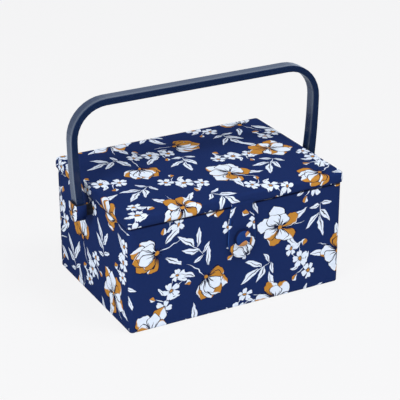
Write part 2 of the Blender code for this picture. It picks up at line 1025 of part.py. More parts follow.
handle_pivot = pivot("handle_pivot", (0.0, 0.0, pivot_height))
carry(lid_pivot, lid_pieces + [tab_pivot])
carry(tab_pivot, tab_pieces)
carry(handle_pivot, handle_pieces)
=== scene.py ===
"""The looks of a cloth-covered sewing box: printed cotton over board, a padded lid, a tab and a handle.

Units are metres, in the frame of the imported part: +Z up, the front faces -Y, the underside at zero.
"""

import math

import bmesh
import bpy
from mathutils import Matrix, Vector, noise


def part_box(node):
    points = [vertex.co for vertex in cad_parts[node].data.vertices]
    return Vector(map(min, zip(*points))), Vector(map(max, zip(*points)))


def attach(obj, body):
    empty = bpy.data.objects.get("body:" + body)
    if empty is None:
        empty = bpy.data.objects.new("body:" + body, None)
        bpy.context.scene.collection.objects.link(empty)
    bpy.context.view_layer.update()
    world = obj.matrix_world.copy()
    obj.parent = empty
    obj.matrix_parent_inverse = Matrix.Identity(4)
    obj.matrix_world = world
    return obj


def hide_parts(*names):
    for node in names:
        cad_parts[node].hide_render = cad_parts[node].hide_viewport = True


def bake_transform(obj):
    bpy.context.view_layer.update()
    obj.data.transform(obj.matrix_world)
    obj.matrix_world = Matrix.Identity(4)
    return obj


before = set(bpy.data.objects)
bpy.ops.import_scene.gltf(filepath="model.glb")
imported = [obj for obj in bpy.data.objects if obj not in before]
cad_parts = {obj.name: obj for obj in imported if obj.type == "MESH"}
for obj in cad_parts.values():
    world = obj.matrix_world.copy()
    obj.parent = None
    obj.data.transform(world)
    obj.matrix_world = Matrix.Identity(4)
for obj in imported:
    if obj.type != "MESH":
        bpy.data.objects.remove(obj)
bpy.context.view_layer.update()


# Camera, floor and light. The camera stands to the left of the front and a little above, as it does
# in the photograph. A pale floor runs out of sight, one large lamp hangs above the front, and the
# sky fills the shadows.

scene = bpy.context.scene
scene.view_settings.view_transform = "Standard"
camera_target = Vector((0.003, 0.0, 0.0902))
backdrop_colour = (0.913, 0.913, 0.921, 1.0)
shine_colour = (0.8, 0.92, 1.1, 1.0)


def aim(thing, place):
    """Put the camera or a lamp in its place, turned to the box."""
    thing.location = place
    thing.rotation_mode = "QUATERNION"
    thing.rotation_quaternion = (camera_target - Vector(place)).to_track_quat("-Z", "Y")
    scene.collection.objects.link(thing)


def join(tree, socket, value):
    """Put a number, a colour or another node's output into a socket."""
    if isinstance(value, bpy.types.NodeSocket):
        tree.links.new(value, socket)
    else:
        socket.default_value = value


def add_node(tree, kind, *values, output=0, **settings):
    """A shader node with its inputs filled in order; None leaves one as it is. Gives one of its outputs."""
    node = tree.nodes.new(f"ShaderNode{kind}")
    for setting, value in settings.items():
        setattr(node, setting, value)
    for socket, value in zip(node.inputs, values):
        if value is not None:
            join(tree, socket, value)
    return node.outputs[output] if node.outputs else None


def by_ray(tree, seen, shine, light):
    """One shader for what the camera sees, one for what shines show, and one for all other light."""
    mixed = add_node(tree, "MixShader", add_node(tree, "LightPath", output="Is Glossy Ray"), light, shine)
    return add_node(tree, "MixShader", add_node(tree, "LightPath", output="Is Camera Ray"), mixed, seen)


camera_data = bpy.data.cameras.new("camera")
camera_data.lens = 127.14
camera_data.sensor_width = 36.0
camera = bpy.data.objects.new("camera", camera_data)
aim(camera, (-0.67439, -1.26288, 0.73778))
scene.camera = camera

world = bpy.data.worlds.new("studio")
world.use_nodes = True
scene.world = world
sky = world.node_tree
sky.nodes.clear()
sky_back = add_node(sky, "SeparateXYZ", add_node(sky, "TexCoord", output="Generated"), output=1)
sky_depth = add_node(sky, "MapRange", sky_back, -0.25, 0.55, 0.06, 0.92, interpolation_type="SMOOTHSTEP")
sky_shine = add_node(sky, "Background", shine_colour, sky_depth)
sky_light = add_node(sky, "Background", (1.0, 1.0, 1.0, 1.0), 0.29)
sky_seen = add_node(sky, "Background", backdrop_colour, 1.0)
add_node(sky, "OutputWorld", by_ray(sky, sky_seen, sky_shine, sky_light))

floor_mesh = bpy.data.meshes.new("floor")
floor_plane = bmesh.new()
bmesh.ops.create_grid(floor_plane, x_segments=1, y_segments=1, size=6.0)
floor_plane.to_mesh(floor_mesh)
floor_plane.free()
floor = bpy.data.objects.new("floor", floor_mesh)
scene.collection.objects.link(floor)
floor_finish = bpy.data.materials.new("floor_paper")
floor_finish.use_nodes = True
paper = floor_finish.node_tree
paper.nodes.clear()
paper_glow = add_node(paper, "Emission", backdrop_colour, 0.94)
paper_shade = add_node(paper, "BsdfDiffuse", (0.06, 0.06, 0.061, 1.0))
paper_seen = add_node(paper, "AddShader", paper_glow, paper_shade)
paper_light = add_node(paper, "BsdfDiffuse", (0.8, 0.8, 0.8, 1.0))
paper_back = add_node(
    paper, "VectorMath", add_node(paper, "TexCoord", output="Object"), (-0.6, 1.0, 0.0),
    output="Value", operation="DOT_PRODUCT",
)
paper_depth = add_node(paper, "MapRange", paper_back, -0.2, 0.5, 0.05, 0.95, interpolation_type="SMOOTHSTEP")
paper_shine = add_node(paper, "Emission", shine_colour, paper_depth)
add_node(paper, "OutputMaterial", by_ray(paper, paper_seen, paper_shine, paper_light))
floor_mesh.materials.append(floor_finish)

for lamp_name, lamp_place, lamp_size, lamp_power in (
    ("key_lamp", (0.75, -1.15, 2.35), 1.1, 50.9),
    ("fill_lamp", (-1.8, -0.9, 1.1), 1.0, 33.0),
):
    lamp_data = bpy.data.lights.new(lamp_name, "AREA")
    lamp_data.shape = "SQUARE"
    lamp_data.size = lamp_size
    lamp_data.energy = lamp_power
    aim(bpy.data.objects.new(lamp_name, lamp_data), lamp_place)


# Printed cotton of the four walls. A fine plain-woven cotton, dyed navy and printed with pale and ochre
# flowers in dark ink outlines. It is glued over the boards, carried round the corners, turned in over
# the top edge and turned under the base.

def add_math(tree, operation, *values, clamp=False):
    return add_node(tree, "Math", *values, operation=operation, use_clamp=clamp)


def add_vector(tree, operation, *values):
    output = "Value" if operation in ("LENGTH", "DOT_PRODUCT") else "Vector"
    return add_node(tree, "VectorMath", *values, output=output, operation=operation)


def add_turn(tree, place, angle):
    """A place turned about the upright axis."""
    return add_node(tree, "VectorRotate", place, None, None, angle, rotation_type="Z_AXIS")


def split_vector(tree, vector):
    return add_node(tree, "SeparateXYZ", vector).node.outputs


def add_mix(tree, share, under, over):
    """One colour laid over another."""
    unused = [None] * 5
    return add_node(tree, "Mix", share, *unused, under, over, output=2, data_type="RGBA")


def add_noise(tree, place, scale, detail=2.0, roughness=0.5, output="Fac", dimensions="3D"):
    return add_node(
        tree, "TexNoise", place, None, scale, detail, roughness, output=output, noise_dimensions=dimensions
    )


def add_curve(tree, value, points):
    """A drawn curve from nought to one."""
    node = add_node(tree, "FloatCurve").node
    join(tree, node.inputs["Value"], value)
    curve = node.mapping.curves[0]
    while len(curve.points) < len(points):
        curve.points.new(0.5, 0.5)
    for point, place in zip(curve.points, points):
        point.location = place
        point.handle_type = "AUTO_CLAMPED"
    node.mapping.update()
    return node.outputs[0]


def add_bump(tree, shader, height, strength, distance):
    node = add_node(tree, "Bump", strength, distance).node
    join(tree, node.inputs["Height"], height)
    join(tree, shader.inputs["Normal"], node.outputs[0])


def new_finish(name, **values):
    """A finish, its tree and its shader, with values set by their sockets' names."""
    finish = bpy.data.materials.new(name)
    finish.use_nodes = True
    shader = finish.node_tree.nodes["Principled BSDF"]
    for socket_name, value in values.items():
        shader.inputs[socket_name.replace("_", " ")].default_value = value
    return finish, finish.node_tree, shader


def new_group(name, inputs, outputs):
    """An empty node group with the sockets of its two ends."""
    group = bpy.data.node_groups.new(name, "ShaderNodeTree")
    for socket_name in inputs:
        kind = "NodeSocketVector" if socket_name in ("Place", "Cloth") else "NodeSocketFloat"
        group.interface.new_socket(socket_name, in_out="INPUT", socket_type=kind)
    for socket_name in outputs:
        kind = "NodeSocketColor" if socket_name == "Colour" else "NodeSocketFloat"
        group.interface.new_socket(socket_name, in_out="OUTPUT", socket_type=kind)
    return group, group.nodes.new("NodeGroupInput").outputs, group.nodes.new("NodeGroupOutput").inputs


def use_group(tree, group, **values):
    node = add_node(tree, "Group", node_tree=group).node
    for socket_name, value in values.items():
        join(tree, node.inputs[socket_name], value)
    return node.outputs


def drawn_shape(name, outline):
    """A petal or leaf, in mm: how far a point lies inside its outline, and its shares along and across."""
    group, start, end = new_group(
        name, ("Place", "Angle", "Base", "Length", "Width", "Bend"), ("Inside", "Along", "Across")
    )
    turn_back = add_math(group, "MULTIPLY", start["Angle"], -1.0)
    turned = split_vector(group, add_turn(group, start["Place"], turn_back))
    along = add_math(group, "DIVIDE", add_math(group, "SUBTRACT", turned[0], start["Base"]), start["Length"])
    sweep = add_math(group, "MULTIPLY", add_math(group, "MULTIPLY", along, along), start["Bend"])
    across = add_math(group, "SUBTRACT", turned[1], sweep)
    half = add_math(group, "MULTIPLY", add_curve(group, along, outline), start["Width"])
    room = add_math(group, "SUBTRACT", half, add_math(group, "ABSOLUTE", across))
    group.links.new(add_math(group, "SUBTRACT", room, 0.15), end["Inside"])
    group.links.new(along, end["Along"])
    least_half = add_math(group, "MAXIMUM", half, 0.2)
    group.links.new(add_math(group, "DIVIDE", across, least_half), end["Across"])
    return group


petal_shape = drawn_shape(
    "petal", ((0.0, 0.0), (0.03, 0.12), (0.26, 0.5), (0.52, 0.92), (0.65, 1.0), (0.84, 0.66), (1.0, 0.0))
)
leaf_shape = drawn_shape("leaf", ((0.0, 0.0), (0.15, 0.5), (0.42, 1.0), (0.72, 0.68), (1.0, 0.0)))

small_flower, flower_in, flower_out = new_group(
    "small_flower", ("Place", "Turn", "Size"), ("Inside", "Radius", "Petal")
)
flower_place = split_vector(small_flower, flower_in["Place"])
flower_angle = add_math(small_flower, "ARCTAN2", flower_place[1], flower_place[0])
flower_angle = add_math(small_flower, "MULTIPLY_ADD", flower_angle, 5 / math.tau, flower_in["Turn"])
flower_petal = add_math(small_flower, "PINGPONG", flower_angle, 0.5)
flower_reach = add_curve(
    small_flower,
    add_math(small_flower, "MULTIPLY", flower_petal, 2.0),
    ((0.0, 0.9), (0.22, 1.0), (0.55, 0.93), (0.82, 0.55), (1.0, 0.24)),
)
flower_radius = add_vector(small_flower, "LENGTH", flower_in["Place"])
flower_radius = add_math(small_flower, "DIVIDE", flower_radius, flower_in["Size"])
flower_room = add_math(small_flower, "SUBTRACT", flower_reach, flower_radius)
flower_room = add_math(small_flower, "MULTIPLY", flower_room, flower_in["Size"])
small_flower.links.new(flower_room, flower_out["Inside"])
small_flower.links.new(flower_radius, flower_out["Radius"])
small_flower.links.new(flower_petal, flower_out["Petal"])

ground_navy = (0.0092, 0.0225, 0.098, 1.0)
petal_pale = (0.69, 0.765, 0.89, 1.0)
petal_ochre = (0.475, 0.217, 0.036, 1.0)
ink = (0.0055, 0.0085, 0.035, 1.0)
repeat_across = 80.0
repeat_up = 90.0
stem_width = 0.62
outline_width = 1.15

floral_print, print_in, print_out = new_group("floral_print", ("Cloth",), ("Colour",))


def reckon(operation, *values, clamp=False):
    """Arithmetic inside the print."""
    return add_math(floral_print, operation, *values, clamp=clamp)


def shift(operation, *values):
    """Arithmetic on places inside the print."""
    return add_vector(floral_print, operation, *values)


def lay(mask, under, over):
    return add_mix(floral_print, mask, under, over)


def covers(inside, sharpness=7.0, middle=0.5):
    """A mask from a distance in mm: one inside, nought outside, with a soft edge."""
    return reckon("MULTIPLY_ADD", inside, sharpness, middle, clamp=True)


def paint(colour, inside, fill, outline=0.0):
    """Lay a shape over the print, with an ink outline round it where it has one."""
    if outline:
        colour = lay(covers(reckon("ADD", inside, outline)), colour, ink)
    return lay(covers(inside), colour, fill)


def stroke(across, along, thickness, reach):
    """An ink stroke that thins out towards the tip."""
    return reckon("SUBTRACT", reckon("MULTIPLY_ADD", along, -thickness / reach, thickness), across)


# The hand-drawn waver of every outline, from a slow noise in the cloth's own plane
waver = add_noise(floral_print, print_in["Cloth"], 0.13, 1.0, 0.45, "Color", "2D")
waver = shift("MULTIPLY_ADD", waver, (3.6, 3.6, 0.0), (-1.8, -1.8, 0.0))
drawn_place = shift("ADD", print_in["Cloth"], waver)


def repeat(offset_across, offset_up, scatter, seed):
    """One motif of the half-drop repeat: a place measured from its middle, its cell and its random shares."""
    place = split_vector(floral_print, shift("SUBTRACT", drawn_place, (offset_across, offset_up, 0.0)))
    column = reckon("FLOOR", reckon("DIVIDE", place[0], repeat_across))
    drop = reckon("MULTIPLY", reckon("FLOORED_MODULO", column, 2.0), repeat_up / 2)
    height = reckon("ADD", place[1], drop)
    row = reckon("FLOOR", reckon("DIVIDE", height, repeat_up))
    local_across = reckon("MULTIPLY_ADD", column, -repeat_across, place[0])
    local_up = reckon("MULTIPLY_ADD", row, -repeat_up, height)
    cell = add_node(floral_print, "CombineXYZ", column, row, seed)
    chance = add_node(floral_print, "TexWhiteNoise", cell, noise_dimensions="3D").node.outputs
    local = add_node(floral_print, "CombineXYZ", local_across, local_up, 0.0)
    local = shift("ADD", local, (-repeat_across / 2, -repeat_up / 2, 0.0))
    half = -scatter / 2
    nudge = shift("MULTIPLY_ADD", chance["Color"], (scatter, scatter, 0.0), (half, half, 0.0))
    local = shift("SUBTRACT", local, nudge)
    turn = reckon("MULTIPLY", chance["Value"], math.tau)
    return add_turn(floral_print, local, turn), cell, split_vector(floral_print, chance["Color"])


def placed(shape, place, middle, angle, length, width, bend):
    """A petal or leaf that grows from one place at an angle in degrees."""
    return use_group(
        floral_print, shape, Place=shift("SUBTRACT", place, (*middle, 0.0)), Angle=math.radians(angle),
        Base=0.0, Length=length, Width=width, Bend=bend,
    )


def rib(shape, aside, thickness, reach):
    """An ink line along a leaf or bud, a little off its middle."""
    across = reckon("ABSOLUTE", reckon("SUBTRACT", shape["Across"], aside))
    return covers(stroke(across, shape["Along"], thickness, reach))


def leaf(colour, place, middle, angle, length, width, bend):
    """A pale leaf with an ink midrib."""
    shape = placed(leaf_shape, place, middle, angle, length, width, bend)
    return paint(colour, shape["Inside"], lay(rib(shape, 0.12, 0.26, 0.95), petal_pale, ink))


def stem(colour, place, middle, angle, length, bend):
    shape = placed(leaf_shape, place, middle, angle, length, stem_width, bend)
    return paint(colour, shape["Inside"], petal_pale)


def bud(colour, place, middle, angle, length, width):
    """An ochre bud, pale down one side."""
    shape = placed(petal_shape, place, middle, angle, length, width, 0.0)
    pale_side = reckon("MULTIPLY_ADD", shape["Across"], 3.0, -0.6)
    filled = lay(covers(pale_side), petal_ochre, petal_pale)
    return paint(colour, shape["Inside"], lay(rib(shape, 0.2, 0.16, 1.0), filled, ink))


def little_flower(colour, place, middle, size, turn, tilt):
    """A flower of five petals with ink veins, an ochre heart and dark stamens."""
    local = shift("MULTIPLY", shift("SUBTRACT", place, (*middle, 0.0)), (1.0, tilt, 1.0))
    flower = use_group(floral_print, small_flower, Place=local, Turn=turn, Size=size)
    vein = stroke(flower["Petal"], flower["Radius"], 0.07, 0.68)
    stamen = reckon("PINGPONG", reckon("MULTIPLY", flower["Petal"], 3.0), 0.5)
    stamen = reckon("SUBTRACT", reckon("MULTIPLY_ADD", stamen, -0.28, 0.38), flower["Radius"])
    heart = reckon("SUBTRACT", 0.2, flower["Radius"])
    filled = petal_pale
    for inside, colour_inside in ((vein, ink), (stamen, ink), (heart, petal_ochre)):
        filled = lay(covers(inside, 25.0, 0.0), filled, colour_inside)
    return paint(colour, flower["Inside"], filled)


def draw(colour, place, parts):
    """Draw the parts of a motif in turn, each over those before it."""
    for part, *sizes in parts:
        colour = part(colour, place, *sizes)
    return colour


# Sprig of long leaves
sprig_place = repeat(2 * repeat_across / 3, 0.0, 7.0, 3.0)[0]
cloth_colour = draw(ground_navy, sprig_place, (
    (stem, (-20.0, -6.0), 12.0, 34.0, 5.0),
    (leaf, (-10.0, -4.0), 62.0, 22.0, 3.2, -3.0),
    (leaf, (-2.0, -2.0), 22.0, 27.0, 3.6, 3.0),
    (leaf, (-6.0, -3.0), -38.0, 24.0, 3.1, 3.0),
    (leaf, (-15.0, -5.0), -72.0, 15.0, 2.4, 2.0),
    (leaf, (-17.0, -5.0), 104.0, 14.0, 2.3, -2.0),
))

# Twig of little flowers
twig_place = repeat(repeat_across / 3, repeat_up / 2, 6.0, 2.0)[0]
cloth_colour = draw(cloth_colour, twig_place, (
    (stem, (-18.0, -20.0), 52.0, 48.0, 7.0),
    (stem, (-3.0, 2.0), 12.0, 20.0, 3.0),
    (stem, (-10.0, -9.0), 148.0, 14.0, -2.0),
    (leaf, (-6.0, -6.0), -8.0, 15.0, 2.4, 2.0),
    (leaf, (-9.0, -2.0), 128.0, 13.0, 2.3, -2.0),
    (leaf, (8.0, 12.0), -14.0, 13.0, 2.2, -2.0),
    (bud, (15.0, 3.0), 8.0, 8.5, 3.6),
    (bud, (-20.0, -3.0), 150.0, 8.0, 3.3),
    (little_flower, (-13.0, -15.0), 9.6, 0.2, 1.15),
    (little_flower, (-1.0, 1.0), 10.4, 0.55, 1.05),
    (little_flower, (9.0, 17.0), 9.2, 0.8, 1.3),
))

# Large open flower, or one seen from the side: its petals fan out by a random spread
bloom_place, bloom_cell, bloom_chance = repeat(0.0, 0.0, 9.0, 1.0)
bloom_spread = reckon("MULTIPLY_ADD", reckon("GREATER_THAN", bloom_chance[2], 0.42), 0.6, 0.4)
bloom_drop = reckon("MULTIPLY_ADD", bloom_spread, -21.0, 21.0)
bloom_place = shift("ADD", bloom_place, add_node(floral_print, "CombineXYZ", bloom_drop, 0.0, 0.0))
cloth_colour = draw(cloth_colour, bloom_place, (
    (leaf, (-8.0, 10.0), 152.0, 24.0, 3.4, -4.0),
    (leaf, (-10.0, -8.0), 205.0, 25.0, 3.6, 4.0),
    (stem, (0.0, 0.0), 184.0, 34.0, 5.0),
))
tilted_place = shift("MULTIPLY", bloom_place, (0.99, 1.18, 1.0))
for number, (petal_angle, petal_length, petal_width, ochre_bias) in enumerate((
    (-142.0, 26.0, 8.8, 0.35),
    (142.0, 25.0, 9.4, 0.2),
    (-72.0, 28.0, 9.6, 0.1),
    (76.0, 27.5, 9.2, 0.3),
    (2.0, 28.5, 9.8, 0.05),
    (-108.0, 20.0, 8.0, -0.25),
    (112.0, 19.5, 7.8, -0.05),
    (-36.0, 22.0, 8.6, -0.3),
    (38.0, 21.0, 8.2, -0.2),
)):
    chance = add_node(
        floral_print, "TexWhiteNoise", bloom_cell, number + 0.5, output="Color", noise_dimensions="4D"
    )
    petal_chance = split_vector(floral_print, chance)
    angle = reckon("MULTIPLY_ADD", petal_chance[0], math.radians(22.0), math.radians(petal_angle - 11.0))
    length = reckon("MULTIPLY_ADD", petal_chance[1], 5.0, petal_length - 2.5)
    petal = use_group(
        floral_print, petal_shape, Place=tilted_place, Angle=reckon("MULTIPLY", angle, bloom_spread),
        Base=1.2, Length=length, Width=petal_width, Bend=1.5,
    )
    ochre_side = reckon("MULTIPLY_ADD", petal["Across"], 0.42, ochre_bias - 0.62)
    ochre_side = reckon("ADD", ochre_side, petal_chance[2])
    filled = lay(covers(ochre_side, 12.0, 0.0), petal_pale, petal_ochre)
    veins = stroke(reckon("PINGPONG", petal["Across"], 0.4), petal["Along"], 0.24, 0.6)
    filled = lay(covers(veins, 28.0, 0.0), filled, ink)
    cloth_colour = paint(cloth_colour, petal["Inside"], filled, outline_width)

# Heart of the large flower: ink stamens over a small ochre disc
heart_parts = split_vector(floral_print, tilted_place)
heart_radius = shift("LENGTH", tilted_place)
heart_angle = reckon("ARCTAN2", heart_parts[1], heart_parts[0])
heart_rays = reckon("PINGPONG", reckon("MULTIPLY", heart_angle, 13 / math.tau), 0.5)
ray_room = reckon("SUBTRACT", reckon("MULTIPLY_ADD", heart_rays, -13.0, 6.6), heart_radius)
dot_room = reckon("ABSOLUTE", reckon("SUBTRACT", heart_radius, 6.2))
dot_room = reckon("ADD", dot_room, reckon("MULTIPLY", heart_rays, 5.0))
cloth_colour = lay(covers(ray_room), cloth_colour, ink)
cloth_colour = lay(covers(reckon("SUBTRACT", 1.15, dot_room)), cloth_colour, ink)
cloth_colour = lay(covers(reckon("SUBTRACT", 2.4, heart_radius)), cloth_colour, petal_ochre)
floral_print.links.new(cloth_colour, print_out["Colour"])


def cloth_finish(name, colour_of, thread_pitch=0.55):
    """A plain-woven cloth. colour_of takes the tree and a place on the cloth in mm, and gives a colour."""
    finish, tree, shader = new_finish(name, Roughness=0.85, Specular_IOR_Level=0.04)
    place = add_vector(tree, "MULTIPLY", add_node(tree, "UVMap", uv_map="cloth"), (1000.0, 1000.0, 0.0))
    threads = split_vector(tree, add_vector(tree, "SCALE", place, None, None, math.tau / thread_pitch))
    weave = add_math(tree, "MULTIPLY", add_math(tree, "SINE", threads[0]), add_math(tree, "SINE", threads[1]))
    slub = add_noise(tree, place, 0.35, 4.0, dimensions="2D")
    shade = add_math(tree, "MULTIPLY_ADD", slub, 0.16, 0.92)
    shade = add_math(tree, "MULTIPLY_ADD", weave, 0.035, shade)
    shaded = add_vector(tree, "SCALE", colour_of(tree, place), None, None, shade)
    join(tree, shader.inputs["Base Color"], shaded)
    relief = add_math(tree, "MULTIPLY_ADD", slub, 1.2, add_math(tree, "MULTIPLY", weave, 0.35))
    add_bump(tree, shader, relief, 0.3, 0.0003)
    return finish


def printed(tree, place):
    return use_group(tree, floral_print, Cloth=place)["Colour"]


def bluer(added):
    """The print with a colour added, which brightens its ground: a painted highlight on rolled edges, and a
    brighter blue on the button.
    """
    return lambda tree, place: add_vector(tree, "ADD", printed(tree, place), added)


def in_shade(tree, place):
    """Painted shade: the print darkened almost to ink, as in the shadow under a rim."""
    return add_mix(tree, 0.86, printed(tree, place), ink)


printed_cotton = cloth_finish("printed_cotton", printed)
folded_cotton = cloth_finish("folded_cotton", bluer((0.008, 0.03, 0.1)))
shaded_cotton = cloth_finish("shaded_cotton", in_shade)

wall_x, wall_y, wall_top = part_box("outer_cover")[1]
plan_radius = 0.004
cloth = 0.0008
cloth_step = 0.006
corner_steps = 5
wall_steps = 20
dip_depth = 0.0002
dips_per_metre = 30.0
rim_shadow = 0.0035
hair = 1e-6


def new_piece(name, shape, body, finishes, replaced=()):
    """Turn a finished bmesh into a piece that rides on a body and stands for CAD nodes."""
    mesh = bpy.data.meshes.new(name)
    shape.to_mesh(mesh)
    shape.free()
    mesh.shade_smooth()
    for finish in finishes:
        mesh.materials.append(finish)
    piece = bpy.data.objects.new(name, mesh)
    scene.collection.objects.link(piece)
    if body:
        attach(piece, body)
    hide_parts(*replaced)
    return piece


def thicken(piece, thickness, offset=-1.0):
    """Give a sheet its thickness. With offset -1 the modelled face stays the outer one."""
    solid = piece.modifiers.new("thickness", "SOLIDIFY")
    solid.thickness = thickness
    solid.offset = offset
    solid.use_even_offset = True
    return solid


def grow(shape, edges):
    """Extrude open edges and give the new verts and edges."""
    made = bmesh.ops.extrude_edge_only(shape, edges=edges)["geom"]
    verts = [item for item in made if isinstance(item, bmesh.types.BMVert)]
    fresh = set(verts)
    edges = [item for item in made if isinstance(item, bmesh.types.BMEdge) and fresh.issuperset(item.verts)]
    return verts, edges


def sheet_through(rows):
    """An open sheet through rows of places, each row extruded from the one before."""
    shape = bmesh.new()
    verts = [shape.verts.new(place) for place in rows[0]]
    edges = [shape.edges.new(pair) for pair in zip(verts, verts[1:])]
    for row in rows[1:]:
        verts, edges = grow(shape, edges)
        for vert, place in zip(verts, row):
            vert.co = place
    return shape


def turn_faces(shape, towards, rank=lambda face: face.calc_area()):
    """Turn the faces of a sheet one way: the one of the highest rank looks towards a direction."""
    bmesh.ops.recalc_face_normals(shape, faces=shape.faces)
    if max(shape.faces, key=rank).normal.dot(towards) < 0:
        bmesh.ops.reverse_faces(shape, faces=shape.faces)


def lay_cloth(shape, flat_place):
    """Give each corner of each face its place on the flat cloth."""
    layers = shape.loops.layers.uv
    cloth_map = layers.get("cloth") or layers.new("cloth")
    for face in shape.faces:
        for loop in face.loops:
            loop[cloth_map].uv = flat_place(face, loop.vert.co)


def wall_run(half_length, corners):
    """A wall seen from above: places along it, each with its turn round a corner."""
    straight = half_length - plan_radius
    pieces = round(2 * straight / cloth_step)
    run = [(straight * (2 * step / pieces - 1), 0.0) for step in range(pieces + 1)]
    if corners:
        turns = [math.pi / 2 * step / corner_steps for step in range(1, corner_steps + 1)]
        run = [(-straight, turn) for turn in reversed(turns)] + run + [(straight, -turn) for turn in turns]
    return run


# How far in the cloth lies at each height, from its edge turned under the base to the one turned in on top
wall_profile = [(0.0036, 0.0006), (0.0018, 0.0006), (0.0007, 0.0009), (0.0001, 0.0018), (0.0, 0.003)]
straight_rise = wall_top - 0.0049
wall_profile += [(0.0, 0.003 + straight_rise * step / wall_steps) for step in range(1, wall_steps + 1)]
wall_profile += [(0.0002, wall_top - 0.0011), (0.0007, wall_top - 0.0004)]
wall_profile += [(0.0015, wall_top), (0.0038, wall_top)]

for wall_name, half_length, distance, angle, print_shift, board in (
    ("front", wall_x, wall_y, 0.0, (0.069, 0.095), "front_board"),
    ("right", wall_y, wall_x, 90.0, (0.25, 0.36), "side_board_right"),
    ("back", wall_x, wall_y, 180.0, (0.43, 0.28), "back_board"),
    ("left", wall_y, wall_x, 270.0, (0.47, 0.19), "side_board_left"),
):
    has_corners = wall_name in ("front", "back")
    rows = []
    for inset, height in wall_profile:
        radius = plan_radius - inset
        row = []
        for along, turn in wall_run(half_length, has_corners):
            spot = Vector((along * dips_per_metre, height * dips_per_metre, angle))
            ripple = 0.5 + 0.5 * noise.noise(spot)
            dip = dip_depth * ripple * math.cos(turn) if inset == 0.0 else 0.0
            out = dip - (distance - plan_radius) - radius * math.cos(turn)
            row.append((along - radius * math.sin(turn), out, height))
        rows.append(row)
    shape = sheet_through(rows)
    turn_faces(shape, Vector((0, -1, 0)))

    def on_print(face, place):
        """The wall's cloth laid flat: its corners unrolled and its turned-in top folded up."""
        across = place.x
        past_corner = abs(place.x) - half_length + plan_radius
        if has_corners and past_corner > 0:
            turn = math.atan2(past_corner, plan_radius - distance - place.y)
            across = math.copysign(half_length - plan_radius + plan_radius * turn, place.x)
        over = place.y + distance if place.z > wall_top - 0.002 else 0.0
        return across + print_shift[0], place.z + over + print_shift[1]

    lay_cloth(shape, on_print)
    # Painted shade: the wall's top strip, under the lid's rim, takes the print darkened almost to ink.
    for face in shape.faces:
        if face.calc_center_median().z > wall_top - rim_shadow:
            face.material_index = 1
    turn_round = Matrix.Rotation(math.radians(angle), 3, "Z")
    bmesh.ops.rotate(shape, verts=shape.verts, cent=(0, 0, 0), matrix=turn_round)
    wall_cloth = new_piece(
        f"wall_cloth_{wall_name}", shape, "box", [printed_cotton, shaded_cotton],
        ["outer_cover"],
    )
    thicken(wall_cloth, cloth)


# Cloth under the base. A plain dark cloth glued over the turned-under edges of the print: the box
# stands on it.

def map_cloth(shape, start=(0.0, 0.0)):
    """Lay the weave on a block of cloth, each side of it seen square on."""
    def square_on(face, place):
        x, y, z = (abs(share) for share in face.normal)
        pick = (0, 1) if z >= max(x, y) else (0, 2) if y >= x else (1, 2)
        return place[pick[0]] + start[0], place[pick[1]] + start[1]
    lay_cloth(shape, square_on)


def plain_dye(colour):
    """A cloth of one colour, a little uneven."""
    def dyed(tree, place):
        lighter = tuple(channel * 1.2 for channel in colour) + (1.0,)
        return add_mix(tree, add_noise(tree, place, 0.05, dimensions="2D"), colour + (1.0,), lighter)
    return dyed


def new_block(size, middle):
    shape = bmesh.new()
    bmesh.ops.create_cube(shape, size=1.0)
    bmesh.ops.scale(shape, verts=shape.verts, vec=size)
    bmesh.ops.translate(shape, verts=shape.verts, vec=middle)
    return shape


def round_off(shape, edges, offset, segments):
    """Round edges off, and give the faces made."""
    return bmesh.ops.bevel(
        shape, geom=edges, offset=offset, segments=segments, profile=0.5, affect="EDGES", material=-1
    )["faces"]


def cut_across(shape, axis, level):
    """Cut a shape through, square to one axis, so that it can bend there."""
    square = Vector((0, 0, 0))
    square[axis] = 1.0
    everything = shape.verts[:] + shape.edges[:] + shape.faces[:]
    bmesh.ops.bisect_plane(shape, geom=everything, dist=0.00001, plane_co=square * level, plane_no=square)


def soft_block(low, high, edge, segments=3, cuts=0.0):
    """A block with rounded edges, cut into a grid where it is to be bent or crowned."""
    size = [top - bottom for bottom, top in zip(low, high)]
    shape = new_block(size, [(top + bottom) / 2 for bottom, top in zip(low, high)])
    round_off(shape, shape.edges, edge, segments)
    if cuts:
        for axis in (0, 1, 2):
            count = int(size[axis] / cuts)
            for step in range(1, count + 1):
                cut_across(shape, axis, low[axis] + size[axis] * step / (count + 1))
    return shape


base_finish = cloth_finish("base_cloth", plain_dye((0.012, 0.016, 0.045)))
base_inset = 0.0042
base_thickness = 0.001
base_x = wall_x - base_inset
base_y = wall_y - base_inset
shape = soft_block((-base_x, -base_y, 0.0), (base_x, base_y, base_thickness), 0.0004)
map_cloth(shape)
base_cloth = new_piece("base_cloth", shape, "box", [base_finish], ["base_cover"])


# Boards, all hidden under cloth: the base, the four walls and the lid's board and rim. They are cut
# from grey board, which is pressed from pulp.

def board_finish(name):
    """Grey board, pressed from pulp, with darker fibres in it."""
    finish, tree, shader = new_finish(name, Roughness=0.92)
    fibre = add_noise(tree, add_node(tree, "TexCoord", output="Object"), 900.0, 5.0)
    pulp = add_mix(tree, fibre, (0.3, 0.27, 0.23, 1.0), (0.5, 0.46, 0.4, 1.0))
    join(tree, shader.inputs["Base Color"], pulp)
    add_bump(tree, shader, fibre, 0.4, 0.0002)
    return finish


def dress(finish, *nodes):
    """Give CAD nodes their finish."""
    for node in nodes:
        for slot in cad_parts[node].material_slots:
            slot.material = finish


wall_boards = ["front_board", "back_board", "side_board_left", "side_board_right"]
lid_boards = ["lid_board", "lid_rim_front", "lid_rim_back", "lid_rim_left", "lid_rim_right"]
dress(board_finish("grey_board"), "base_board", *wall_boards, *lid_boards)


# Printed cotton of the lid. One piece of the same cloth is drawn over the padding and down over the
# rim, folded at its corners and turned in under the rim's lower edge.

